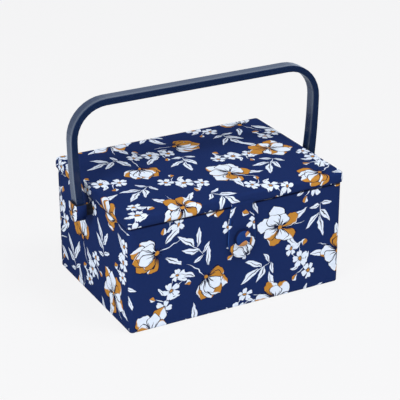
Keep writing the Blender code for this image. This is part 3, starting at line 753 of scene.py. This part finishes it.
lid_low, lid_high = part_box("lid_cover")
lid_x = lid_high.x
lid_y = lid_high.y
lid_bottom = lid_low.z
lid_edge = 0.1343
lid_crown = lid_high.z - lid_edge
lid_round = 0.0024
lid_shift = (0.345, 0.45)
lid_grid = 0.0035
rim_steps = 5
hem_start = 0.0011
turn_in = 0.0046
rim_fullness = 0.0008
rim_ripple = 0.00022
hem_ripple = 0.00035
ripple_reach = 0.0045
ripples_per_metre = 45.0


def crown_share(x, y, half_x, half_y):
    """How far the padding has risen over a place on the lid: one in the middle, nought at the edge."""
    reach = (abs(x / half_x) ** 5 + abs(y / half_y) ** 5) ** 0.2
    return max(0.0, 1.0 - reach * reach)


def uprights(shape):
    return [edge for edge in shape.edges if abs(edge.verts[0].co.z - edge.verts[1].co.z) > 0.001]


def open_edges(shape):
    return [edge for edge in shape.edges if edge.is_boundary]


def lid_shell(half_x, half_y, bottom, top, round_plan, round_edge, crown):
    """The lid's outside as an open shell: a rounded block without its underside, crowned on top."""
    shape = new_block((2 * half_x, 2 * half_y, top - bottom), (0, 0, (top + bottom) / 2))
    underside = [face for face in shape.faces if face.normal.z < -0.5]
    bmesh.ops.delete(shape, geom=underside, context="FACES_ONLY")
    round_off(shape, uprights(shape), round_plan, 6)
    brim = [edge for edge in shape.edges if all(abs(vert.co.z - top) < hair for vert in edge.verts)]
    round_off(shape, brim, round_edge, 5)
    for axis, half in ((0, half_x), (1, half_y)):
        count = round(half / lid_grid)
        for step in range(1 - count, count):
            cut_across(shape, axis, (half - round_plan) * step / count)
    for step in range(1, rim_steps):
        cut_across(shape, 2, bottom + (top - round_edge - bottom) * step / rim_steps)
    for vert in shape.verts:
        if vert.co.z > top - hair:
            vert.co.z += crown * crown_share(vert.co.x, vert.co.y, half_x - round_edge, half_y - round_edge)
    return shape


shape = lid_shell(lid_x, lid_y, lid_bottom + hem_start, lid_edge, plan_radius, lid_round, lid_crown)
for inset, drop in ((0.0003, 0.0007), (0.0006, 0.0003), (0.0008, 0.0001), (0.0020, 0.0)):
    for vert in grow(shape, open_edges(shape))[0]:
        past = Vector((abs(vert.co.x) - lid_x + plan_radius, abs(vert.co.y) - lid_y + plan_radius, 0.0))
        if past.x > 0 and past.y > 0:
            inwards = past.normalized()
        else:
            inwards = Vector((1.0, 0.0, 0.0)) if past.x > past.y else Vector((0.0, 1.0, 0.0))
        vert.co.x -= math.copysign(inwards.x * inset, vert.co.x)
        vert.co.y -= math.copysign(inwards.y * inset, vert.co.y)
        vert.co.z -= drop
lining_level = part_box("lid_lining")[0].z - 0.0002
for lift in (0.0, 0.0003, 0.001, 0.002, 0.003, 0.004, 0.005, lining_level - lid_bottom):
    inner = turn_in - (0.0003 if lift == 0.0 else 0.0)
    for vert in grow(shape, open_edges(shape))[0]:
        vert.co.x = math.copysign(min(abs(vert.co.x), lid_x - inner), vert.co.x)
        vert.co.y = math.copysign(min(abs(vert.co.y), lid_y - inner), vert.co.y)
        vert.co.z = lid_bottom + lift
bmesh.ops.remove_doubles(shape, verts=shape.verts, dist=0.00002)
turn_faces(shape, Vector((0, 0, 1)), lambda face: face.calc_center_median().z)


def rim_swell(up_rim):
    """How far the cloth of the rim stands out from its board, from its lower edge to the lid's top."""
    return rim_fullness * math.sin(math.pi * min(1.0, max(0.0, up_rim)) ** 0.7)


for vert in shape.verts:
    place = vert.co
    up_rim = (place.z - lid_bottom) / (lid_edge - lid_bottom)
    if up_rim < 1.0:
        ripple = noise.noise(Vector((place.x * ripples_per_metre, place.y * ripples_per_metre, 3.0)))
        swell = rim_swell(up_rim) + rim_ripple * ripple * (1 - up_rim)
        for axis, half in ((0, lid_x), (1, lid_y)):
            near_side = max(0.0, 1 - (half - abs(place[axis])) / ripple_reach)
            place[axis] += math.copysign(swell * near_side, place[axis])
        place.z += hem_ripple * ripple * max(0.0, 1 - 2 * up_rim)


def over_rim(face, place):
    """The lid's cloth laid flat: its rims carry on from the top."""
    down = max(0.0, lid_edge - place.z)
    u, v = place.x, place.y
    if max(abs(face.normal.x), abs(face.normal.y)) > 0.5 or face.normal.z < 0 or down > 0:
        middle = face.calc_center_median()
        if abs(middle.x) - lid_x > abs(middle.y) - lid_y:
            u += math.copysign(down, u)
        else:
            v += math.copysign(down, v)
    return u + lid_shift[0], v + lid_shift[1]


lay_cloth(shape, over_rim)
lid_cloth = new_piece("lid_cloth", shape, "lid", [printed_cotton], ["lid_cover"])
thicken(lid_cloth, cloth)


# Padding of the lid. A thin sheet of foam between the lid's board and its cloth gives the soft crown,
# and thins out towards the lid's edges.

pad_low, pad_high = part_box("lid_pad")
pad_edge = lid_edge - 0.0012
pad_crown = lid_crown - 0.0003
shape = lid_shell(pad_high.x, pad_high.y, pad_low.z, pad_edge, 0.0029, 0.0009, pad_crown)
bmesh.ops.holes_fill(shape, edges=open_edges(shape))
bmesh.ops.recalc_face_normals(shape, faces=shape.faces)
lid_foam = new_piece("lid_foam", shape, "lid", [board_finish("pad_foam")], ["lid_pad"])


# Closing tab. Two layers of the print, stuffed a little and sewn round, grow out of the front rim's
# lower edge. Its button hides a magnet that meets one in the front wall.

tab_low, tab_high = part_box("closure_tab")
button_low, button_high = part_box("button_shell")
button_radius = (button_high.x - button_low.x) / 2
button_middle = (button_low + button_high) / 2
button_middle.y = button_high.y
button_rise = button_high.y - button_low.y
tab_middle = (tab_low.x + tab_high.x) / 2
tab_half = (tab_high.x - tab_low.x) / 2
tab_thickness = tab_high.y - tab_low.y
tab_top_half = 0.013
tab_round_height = 0.0212
tab_root = tab_high.z + 0.0048
root_thickness = 0.0006
tab_edge_round = 0.00095
seam_width = 0.0005
seam_depth = 0.0004
button_pull = 0.0005
pull_radius = 0.0115
tab_rows = 14
tab_columns = 10


def lower_arc(middle, level, half_width, half_height, steps):
    """The lower half of an oval, from its left end to its right one."""
    turns = [math.pi * (1 + step / steps) for step in range(steps + 1)]
    return [(middle + half_width * math.cos(turn), level + half_height * math.sin(turn)) for turn in turns]


def draw_out(shape, way):
    """Draw every face of a flat shape out one way, and give the verts that moved."""
    made = bmesh.ops.extrude_face_region(shape, geom=shape.faces[:])["geom"]
    verts = [item for item in made if isinstance(item, bmesh.types.BMVert)]
    bmesh.ops.translate(shape, verts=verts, vec=way)
    return verts


side_start = tab_low.z + tab_round_height
outline = lower_arc(tab_middle, side_start, tab_half, tab_round_height, 24)
right_side = []
for share in [step / 8 for step in range(1, 9)]:
    drawn_in = (tab_top_half - tab_half) * (0.35 * share + 0.65 * share * share)
    right_side.append((tab_middle + tab_half + drawn_in, side_start + (tab_high.z - side_start) * share))
right_side += [(tab_middle + tab_top_half, tab_high.z + height) for height in (0.0016, 0.0032, 0.0048)]
outline += right_side + [(2 * tab_middle - across, height) for across, height in reversed(right_side)]
shape = bmesh.new()
shape.faces.new([shape.verts.new((across, tab_low.y, height)) for across, height in outline])
for row in range(1, tab_rows):
    cut_across(shape, 2, tab_low.z + (tab_root - tab_low.z) * row / tab_rows)
for column in range(1, tab_columns):
    cut_across(shape, 0, tab_low.x + 2 * tab_half * column / tab_columns)
draw_out(shape, (0, tab_thickness, 0))
bmesh.ops.recalc_face_normals(shape, faces=shape.faces)
rim_edges = [
    edge for edge in shape.edges
    if len(edge.link_faces) == 2 and abs(edge.link_faces[0].normal.y - edge.link_faces[1].normal.y) > 0.5
]
# Painted light on the tab's rolled edge: a painted highlight where it faces forward, painted shade on its far
# right side and along its bottom.
for face in round_off(shape, rim_edges, tab_edge_round, 4):
    middle = face.calc_center_median()
    if middle.y < (tab_low.y + tab_high.y) / 2 and middle.z < tab_root - 0.0012:
        face.material_index = 2 if face.normal.x > 0.75 or face.normal.z < -0.2 else 1
for depth in (-seam_depth, seam_depth):
    front_faces = [
        face for face in shape.faces
        if face.normal.y < -0.99 and face.material_index == 0
        and face.calc_center_median().y < tab_low.y + 0.0006
    ]
    bmesh.ops.inset_region(shape, faces=front_faces, thickness=seam_width, depth=depth, use_even_offset=True)
for vert in shape.verts:
    lift = min(1.0, max(0.0, (vert.co.z - tab_high.z + 0.0006) / 0.0045))
    front_share = (tab_high.y - vert.co.y) / tab_thickness
    thin = root_thickness + (tab_thickness - root_thickness) * (1 - lift)
    rim_front = -lid_y - 0.0001 - rim_swell((vert.co.z - lid_bottom) / (lid_edge - lid_bottom))
    back = tab_high.y + (rim_front - tab_high.y) * min(1.0, lift * 3)
    from_button = math.hypot(vert.co.x - button_middle.x, vert.co.z - button_middle.z)
    pulled_in = button_pull * front_share * math.exp(-((from_button / pull_radius) ** 4))
    vert.co.y = back - front_share * thin + pulled_in
lay_cloth(shape, lambda face, place: (place.x - tab_middle + 0.042, place.z - tab_low.z + 0.036))
tab_finishes = [printed_cotton, folded_cotton, shaded_cotton]
tab_cloth = new_piece("tab_cloth", shape, None, tab_finishes, ["closure_tab", "tab_magnet"])
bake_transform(tab_cloth)


# Covered button. A domed metal shell with a round of the same cloth drawn over it and gathered behind.
# The cloth over the dome is printed a little bluer and brighter, and painted shade darkens it where it turns
# away round the edge.

shape = bmesh.new()
dome = [
    (0.0, 1.0), (0.2, 0.99), (0.42, 0.955), (0.62, 0.88), (0.78, 0.78), (0.89, 0.65), (0.96, 0.5),
    (1.0, 0.34), (0.985, 0.2), (0.94, 0.08), (0.87, 0.0), (0.0, 0.0),
]
line = [shape.verts.new((share * button_radius, -rise * button_rise, 0.0)) for share, rise in dome]
edges = [shape.edges.new(pair) for pair in zip(line, line[1:])]
bmesh.ops.spin(
    shape, geom=line + edges, cent=(0, 0, 0), axis=(0, 1, 0), angle=math.tau, steps=48, use_merge=True
)
bmesh.ops.remove_doubles(shape, verts=shape.verts, dist=0.000001)
bmesh.ops.recalc_face_normals(shape, faces=shape.faces)
bmesh.ops.translate(shape, verts=shape.verts, vec=button_middle)
lay_cloth(shape, lambda face, place: (place.x - button_middle.x + 0.125, place.z - button_middle.z + 0.3895))
# Painted shade: the dome's outer ring, on its top and sides, takes the print darkened almost to ink.
for face in shape.faces:
    reach = max((vert.co - button_middle).xz.length for vert in face.verts)
    if reach > 0.93 * button_radius and face.normal.z > -0.4:
        face.material_index = 1
button_finishes = [cloth_finish("button_cotton", bluer((0.0, 0.012, 0.055))), shaded_cotton]
button = new_piece("button_cloth", shape, "tab", button_finishes, ["button_shell"])


# Handle. One moulding of navy plastic, satin with a fine grain, on two rivets. The ridge along the
# front of its outer side carries a painted highlight, a paler band in its colour. The sockets of its feet and
# their spacers are duller.

def moulded_finish(name, colour, roughness, grain=700.0, relief=0.12):
    """Moulded plastic with a fine grain and a slightly uneven shine."""
    finish, tree, shader = new_finish(name)
    place = add_node(tree, "TexCoord", output="Object")
    cloud = add_noise(tree, place, 30.0)
    lighter = tuple(min(1.0, channel * 1.25) for channel in colour) + (1.0,)
    join(tree, shader.inputs["Base Color"], add_mix(tree, cloud, colour + (1.0,), lighter))
    join(tree, shader.inputs["Roughness"], add_math(tree, "MULTIPLY_ADD", cloud, 0.12, roughness - 0.06))
    add_bump(tree, shader, add_noise(tree, place, grain, 3.0), relief, 0.0002)
    return finish


handle_plastic = moulded_finish("handle_plastic", (0.0035, 0.0135, 0.05), 0.25)
dress(handle_plastic, "handle")
tree = handle_plastic.node_tree
handle_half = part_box("handle")[1].y
across_handle = split_vector(tree, add_node(tree, "TexCoord", output="Object"))[1]
# Painted highlight: a paler band in the base colour along the ridge at the front of the outer side.
ridge = add_curve(
    tree, add_math(tree, "MULTIPLY_ADD", across_handle, 0.5 / handle_half, 0.5),
    ((0.0, 0.0), (0.04, 0.0), (0.12, 0.45), (0.2, 1.0), (0.3, 0.4), (0.45, 0.08), (1.0, 0.0)),
)
handle_colour = tree.nodes["Principled BSDF"].inputs["Base Color"]
join(tree, handle_colour, add_mix(tree, ridge, handle_colour.links[0].from_socket, (0.06, 0.08, 0.12, 1.0)))
socket_plastic = moulded_finish("socket_plastic", (0.0035, 0.006, 0.018), 0.6)
for side in ("left", "right"):
    dress(socket_plastic, f"handle_socket_{side}", f"pivot_spacer_{side}")


# Rivets and their washers, the wall's magnet and the button's back. All are small turned or pressed
# pieces of plated steel, mostly hidden by the cloth.

plated_steel, tree, shader = new_finish("plated_steel", Metallic=1.0)
smear = add_noise(tree, add_node(tree, "TexCoord", output="Object"), 400.0)
join(tree, shader.inputs["Base Color"], add_mix(tree, smear, (0.5, 0.5, 0.52, 1.0), (0.68, 0.68, 0.69, 1.0)))
join(tree, shader.inputs["Roughness"], add_math(tree, "MULTIPLY_ADD", smear, 0.2, 0.2))
dress(plated_steel, "wall_magnet", "button_back")
for side in ("left", "right"):
    dress(plated_steel, f"pivot_pin_{side}", f"pivot_washer_{side}")


# Cloth-covered ends of the handle. The print is drawn round each moulded socket and glued to its rim.
# Its cut edge carries a painted highlight: the print made bluer there.

end_edge_round = 0.0012
for side_name, side in (("left", -1.0), ("right", 1.0)):
    low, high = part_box(f"socket_cover_{side_name}")
    half = high.y
    centre_height = low.z + half
    near, far = (high.x, low.x) if side < 0 else (low.x, high.x)
    outline = lower_arc(0.0, centre_height, half, half, 20) + [(half, high.z), (-half, high.z)]
    shape = bmesh.new()
    shape.faces.new([shape.verts.new((far, across, height)) for across, height in outline])
    near_verts = draw_out(shape, (near - far, 0, 0))
    near_face = [face for face in shape.faces if all(vert in near_verts for vert in face.verts)]
    bmesh.ops.recalc_face_normals(shape, faces=shape.faces)
    top_face = [face for face in shape.faces if face.normal.z > 0.9]
    bmesh.ops.delete(shape, geom=near_face + top_face, context="FACES")
    outer_edges = [
        edge for edge in shape.edges
        if all(abs(vert.co.x - far) < hair for vert in edge.verts) and len(edge.link_faces) == 2
    ]
    round_off(shape, outer_edges, end_edge_round, 3)
    map_cloth(shape, (0.276 - 0.078 * side, -0.063))
    cloth_map = shape.loops.layers.uv["cloth"]
    for face in shape.faces:
        if abs(face.normal.y) > max(abs(face.normal.x), abs(face.normal.z)):
            for loop in face.loops:
                loop[cloth_map].uv = (loop.vert.co.x - near + 0.17, loop.vert.co.z - 0.048)
    cover = new_piece(
        f"handle_end_cloth_{side_name}", shape, "handle", [printed_cotton, folded_cotton],
        [f"socket_cover_{side_name}"],
    )
    # Painted highlight: the cut edge all round the cloth takes the bluer print.
    thicken(cover, cloth).material_offset_rim = 1
    straight_rise = high.z - centre_height
    depth = abs(far - near)


# Lining of the box. Plain navy cotton glued to the inside of the walls, its top edge folded over and
# lying just below the mouth; a padded board covers the base.

navy_lining = cloth_finish("navy_lining", plain_dye((0.022, 0.036, 0.115)))
lining_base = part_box("wall_lining")[0].z
lining_x, lining_y, lining_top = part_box("wall_lining")[1]
lining_steps = 16
wave_depth = 0.00022
waves = 420.0

shape = bmesh.new()
corners = [(-1, -1), (1, -1), (1, 1), (-1, 1)]
verts = [shape.verts.new((sx * lining_x, sy * lining_y, lining_base)) for sx, sy in corners]
edges = [shape.edges.new((verts[step], verts[(step + 1) % 4])) for step in range(4)]
bmesh.ops.subdivide_edges(shape, edges=edges, cuts=40)
edges = shape.edges[:]
lining_rise = lining_top - 0.004 - lining_base
for lift in [lining_rise / lining_steps] * lining_steps + [0.003, 0.0006, 0.0004]:
    verts, edges = grow(shape, edges)
    bmesh.ops.translate(shape, verts=verts, vec=(0, 0, lift))
for vert in shape.verts:
    place = vert.co
    upper = max(0.0, (place.z - lining_base) / (lining_top - lining_base)) ** 3
    along = math.sin(place.x * waves + 2 * math.sin(place.x * 61.0))
    wave = wave_depth * (1 + along * math.sin(place.y * waves + 1.3))
    for axis, half in ((0, lining_x), (1, lining_y)):
        if abs(place[axis]) > half - hair:
            place[axis] -= math.copysign(wave * upper, place[axis])
turn_faces(shape, Vector((0, 1, 0)), lambda face: -face.calc_center_median().y)
map_cloth(shape)
wall_lining = new_piece("lining_cloth_walls", shape, "box", [navy_lining], ["wall_lining"])
thicken(wall_lining, cloth, 1.0)


def lining_block(name, node, body, edge, segments, cuts, start, below=0.0, crown=0.0):
    """A padded board or ledge covered in the lining's cloth, in a CAD node's space, crowned where asked."""
    low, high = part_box(node)
    shape = soft_block(low, high - Vector((0, 0, below)), edge, segments, cuts)
    for vert in shape.verts:
        if crown and vert.co.z > high.z - 0.0003 - hair:
            vert.co.z += crown * crown_share(vert.co.x, vert.co.y, high.x - 0.0006, high.y - 0.0006)
    map_cloth(shape, start)
    return new_piece(name, shape, body, [navy_lining], [node])


base_lining = lining_block("lining_base", "base_lining", "box", 0.0005, 2, 0.012, (0.2, 0.0), 0.0002, 0.0002)
for side in ("left", "right"):
    lining_block(f"lining_ledge_{side}", f"ledge_{side}", "box", 0.0011, 3, 0.01, (0.1, 0.3))


# Lift-out tray. One moulding of pale, slightly cloudy plastic with seven pockets and a thumb notch at
# each end.

dress(moulded_finish("tray_plastic", (0.66, 0.69, 0.72), 0.34, 500.0, 0.05), "tray")


# Lining of the lid: a padded board in the navy cotton, glued in under the lid's board. It carries the
# pin cushion and the elastic band.

lid_lining = lining_block("lining_lid", "lid_lining", "lid", 0.0005, 2, 0.008, (0.4, 0.1))


# Pin cushion in the lid. Ochre cotton over a firm filling, glued to the lining by its flat back and
# drawn in by one tuft in the middle. Its cloth is swollen by simulation, which gives its puckers.

cushion_finish = cloth_finish("cushion_cloth", plain_dye((0.42, 0.185, 0.03)))
low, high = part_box("pin_cushion")
cushion_middle = (low + high) / 2
cushion_inset = 0.0026
cushion_depth = 0.0075
cushion_corner = 0.009
cushion_cap = 0.0042
glued_depth = 0.0009
tuft_radius = 0.0024
dimple_depth = 0.0012
dimple_radius = 0.0045
thread_radius = 0.00035
half_x = (high.x - low.x) / 2 - cushion_inset
half_y = (high.y - low.y) / 2 - cushion_inset
shape = new_block(
    (2 * half_x, 2 * half_y, cushion_depth), (cushion_middle.x, cushion_middle.y, high.z - cushion_depth / 2)
)
round_off(shape, uprights(shape), cushion_corner, 6)
pin_cushion = new_piece("pin_cushion_cloth", shape, None, [cushion_finish], ["pin_cushion"])
remesh = pin_cushion.modifiers.new("even", "REMESH")
remesh.mode = "VOXEL"
remesh.voxel_size = 0.0018


def take_shape(piece):
    """Apply the modifiers of a piece that is still being made, and return the new mesh."""
    mesh = bpy.data.meshes.new_from_object(piece.evaluated_get(bpy.context.evaluated_depsgraph_get()))
    piece.modifiers.clear()
    piece.data = mesh
    return mesh


def from_tuft(place):
    return math.hypot(place.x - cushion_middle.x, place.y - cushion_middle.y)


even_mesh = take_shape(pin_cushion)
before = [vert.co.copy() for vert in even_mesh.vertices]
held = pin_cushion.vertex_groups.new(name="held")
for vert in even_mesh.vertices:
    in_tuft = from_tuft(vert.co) < tuft_radius and vert.co.z < high.z - 0.006
    if vert.co.z > high.z - glued_depth or in_tuft:
        held.add([vert.index], 1.0, "ADD")
swelling = pin_cushion.modifiers.new("swelling", "CLOTH")
swelling.settings.quality = 6
swelling.settings.mass = 0.05
swelling.settings.bending_stiffness = 0.5
swelling.settings.use_pressure = True
swelling.settings.uniform_pressure_force = 4.0
swelling.settings.effector_weights.gravity = 0.0
swelling.settings.vertex_group_mass = "held"
swelling.settings.shrink_min = -0.05
swelling.point_cache.frame_start = 1
swelling.point_cache.frame_end = 20
for frame_number in range(1, 21):
    scene.frame_set(frame_number)
swollen = take_shape(pin_cushion)
pin_cushion.vertex_groups.clear()
for vert, place in zip(swollen.vertices, before):
    move = vert.co - place
    if move.length > cushion_cap:
        vert.co = place + move.normalized() * cushion_cap
scene.frame_set(1)
shape = bmesh.new()
shape.from_mesh(pin_cushion.data)
for vert in shape.verts:
    for axis in (0, 1, 2):
        vert.co[axis] = min(max(vert.co[axis], low[axis]), high[axis])
    if vert.co.z < high.z - 0.004:
        vert.co.z += dimple_depth * math.exp(-((from_tuft(vert.co) / dimple_radius) ** 2))
map_cloth(shape, (0.7, 0.2))
tuft_level = min(vert.co.z for vert in shape.verts if from_tuft(vert.co) < 0.002)
shape.to_mesh(pin_cushion.data)
shape.free()
pin_cushion.data.shade_smooth()
if not pin_cushion.data.materials:
    pin_cushion.data.materials.append(cushion_finish)
finer = pin_cushion.modifiers.new("finer", "SUBSURF")
finer.levels = 1
finer.render_levels = 1
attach(pin_cushion, "lid")

shape = bmesh.new()
for stitch, angle in enumerate((35.0, 80.0, 125.0, 170.0)):
    made = bmesh.ops.create_cone(
        shape, cap_ends=True, segments=8, radius1=thread_radius, radius2=thread_radius, depth=0.0042,
        matrix=Matrix.Rotation(math.radians(angle), 4, "Z") @ Matrix.Rotation(math.pi / 2, 4, "Y"),
    )["verts"]
    stitch_level = tuft_level - 0.0001 - 0.0002 * stitch
    bmesh.ops.translate(shape, verts=made, vec=(cushion_middle.x, cushion_middle.y, stitch_level))
ends = [edge for edge in shape.edges if len(edge.link_faces) == 2 and edge.calc_face_angle() > 1.0]
round_off(shape, ends, 0.00012, 2)
map_cloth(shape, (0.1, 0.9))
new_piece("pin_cushion_tuft", shape, "lid", [navy_lining])


# Elastic band in the lid. A ribbed woven elastic, sewn down between its four loops, which hold reels
# and small scissors.

def ribbed(tree, place):
    # The ribs are drawn in colour only: painted light on their crests and painted shade between them.
    ribs = add_math(tree, "SINE", add_math(tree, "MULTIPLY", split_vector(tree, place)[1], math.tau / 1.4))
    lit_crest = add_math(tree, "MULTIPLY_ADD", ribs, 0.5, 0.5)
    return add_mix(tree, lit_crest, (0.016, 0.024, 0.07, 1.0), (0.035, 0.05, 0.13, 1.0))


elastic_finish = cloth_finish("elastic_weave", ribbed, thread_pitch=0.8)
low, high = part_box("thread_elastic")
loop_width = 0.018
foot_width = 0.006
loop_steps = 16
loop_drop = high.z - low.z - 0.0008
band_back = low.y + 0.0002
band_width = high.y - low.y - 0.0004
band_level = high.z - 0.0001
line = [(low.x, band_level)]
for loop in range(4):
    loop_start = low.x + foot_width + loop * (loop_width + foot_width)
    for share in [step / loop_steps for step in range(loop_steps + 1)]:
        drop = loop_drop * math.sin(math.pi * share) ** 0.75
        line.append((loop_start + loop_width * share, band_level - drop))
line.append((high.x, band_level))
shape = sheet_through([[(x, band_back + band_width * step / 4, z) for x, z in line] for step in range(5)])
turn_faces(shape, Vector((0, 0, -1)))
map_cloth(shape, (0.0, 0.5))
elastic = new_piece("elastic_band", shape, "lid", [elastic_finish], ["thread_elastic"])
thicken(elastic, 0.0007)


# Cloth hinge. A strip of the navy cotton inside the back, glued to the wall below and to the lid's rim
# above.

lower_low, lower_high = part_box("hinge_cloth_lower")
upper_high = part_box("hinge_cloth_upper")[1]
hinge_rise = upper_high.z - lower_low.z
hinge_length = lower_high.x - lower_low.x
hinge_rows = 24
hinge_columns = 48
rows = []
for height in [lower_low.z + hinge_rise * step / hinge_rows for step in range(hinge_rows + 1)]:
    over = min(1.0, max(0.0, (height - lower_high.z + 0.002) / 0.004))
    out = lower_high.y + (upper_high.y - lower_high.y) * over * over * (3 - 2 * over)
    columns = [lower_low.x + hinge_length * step / hinge_columns for step in range(hinge_columns + 1)]
    rows.append([(across, out, height) for across in columns])
shape = sheet_through(rows)
turn_faces(shape, Vector((0, -1, 0)))
map_cloth(shape, (0.0, 0.8))
hinge_nodes = ["hinge_cloth_lower", "hinge_cloth_upper"]
hinge_cloth = new_piece("hinge_cloth", shape, None, [navy_lining], hinge_nodes)
hinge_cloth.modifiers.new("thickness", "SOLIDIFY").thickness = 0.0006
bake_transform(hinge_cloth)
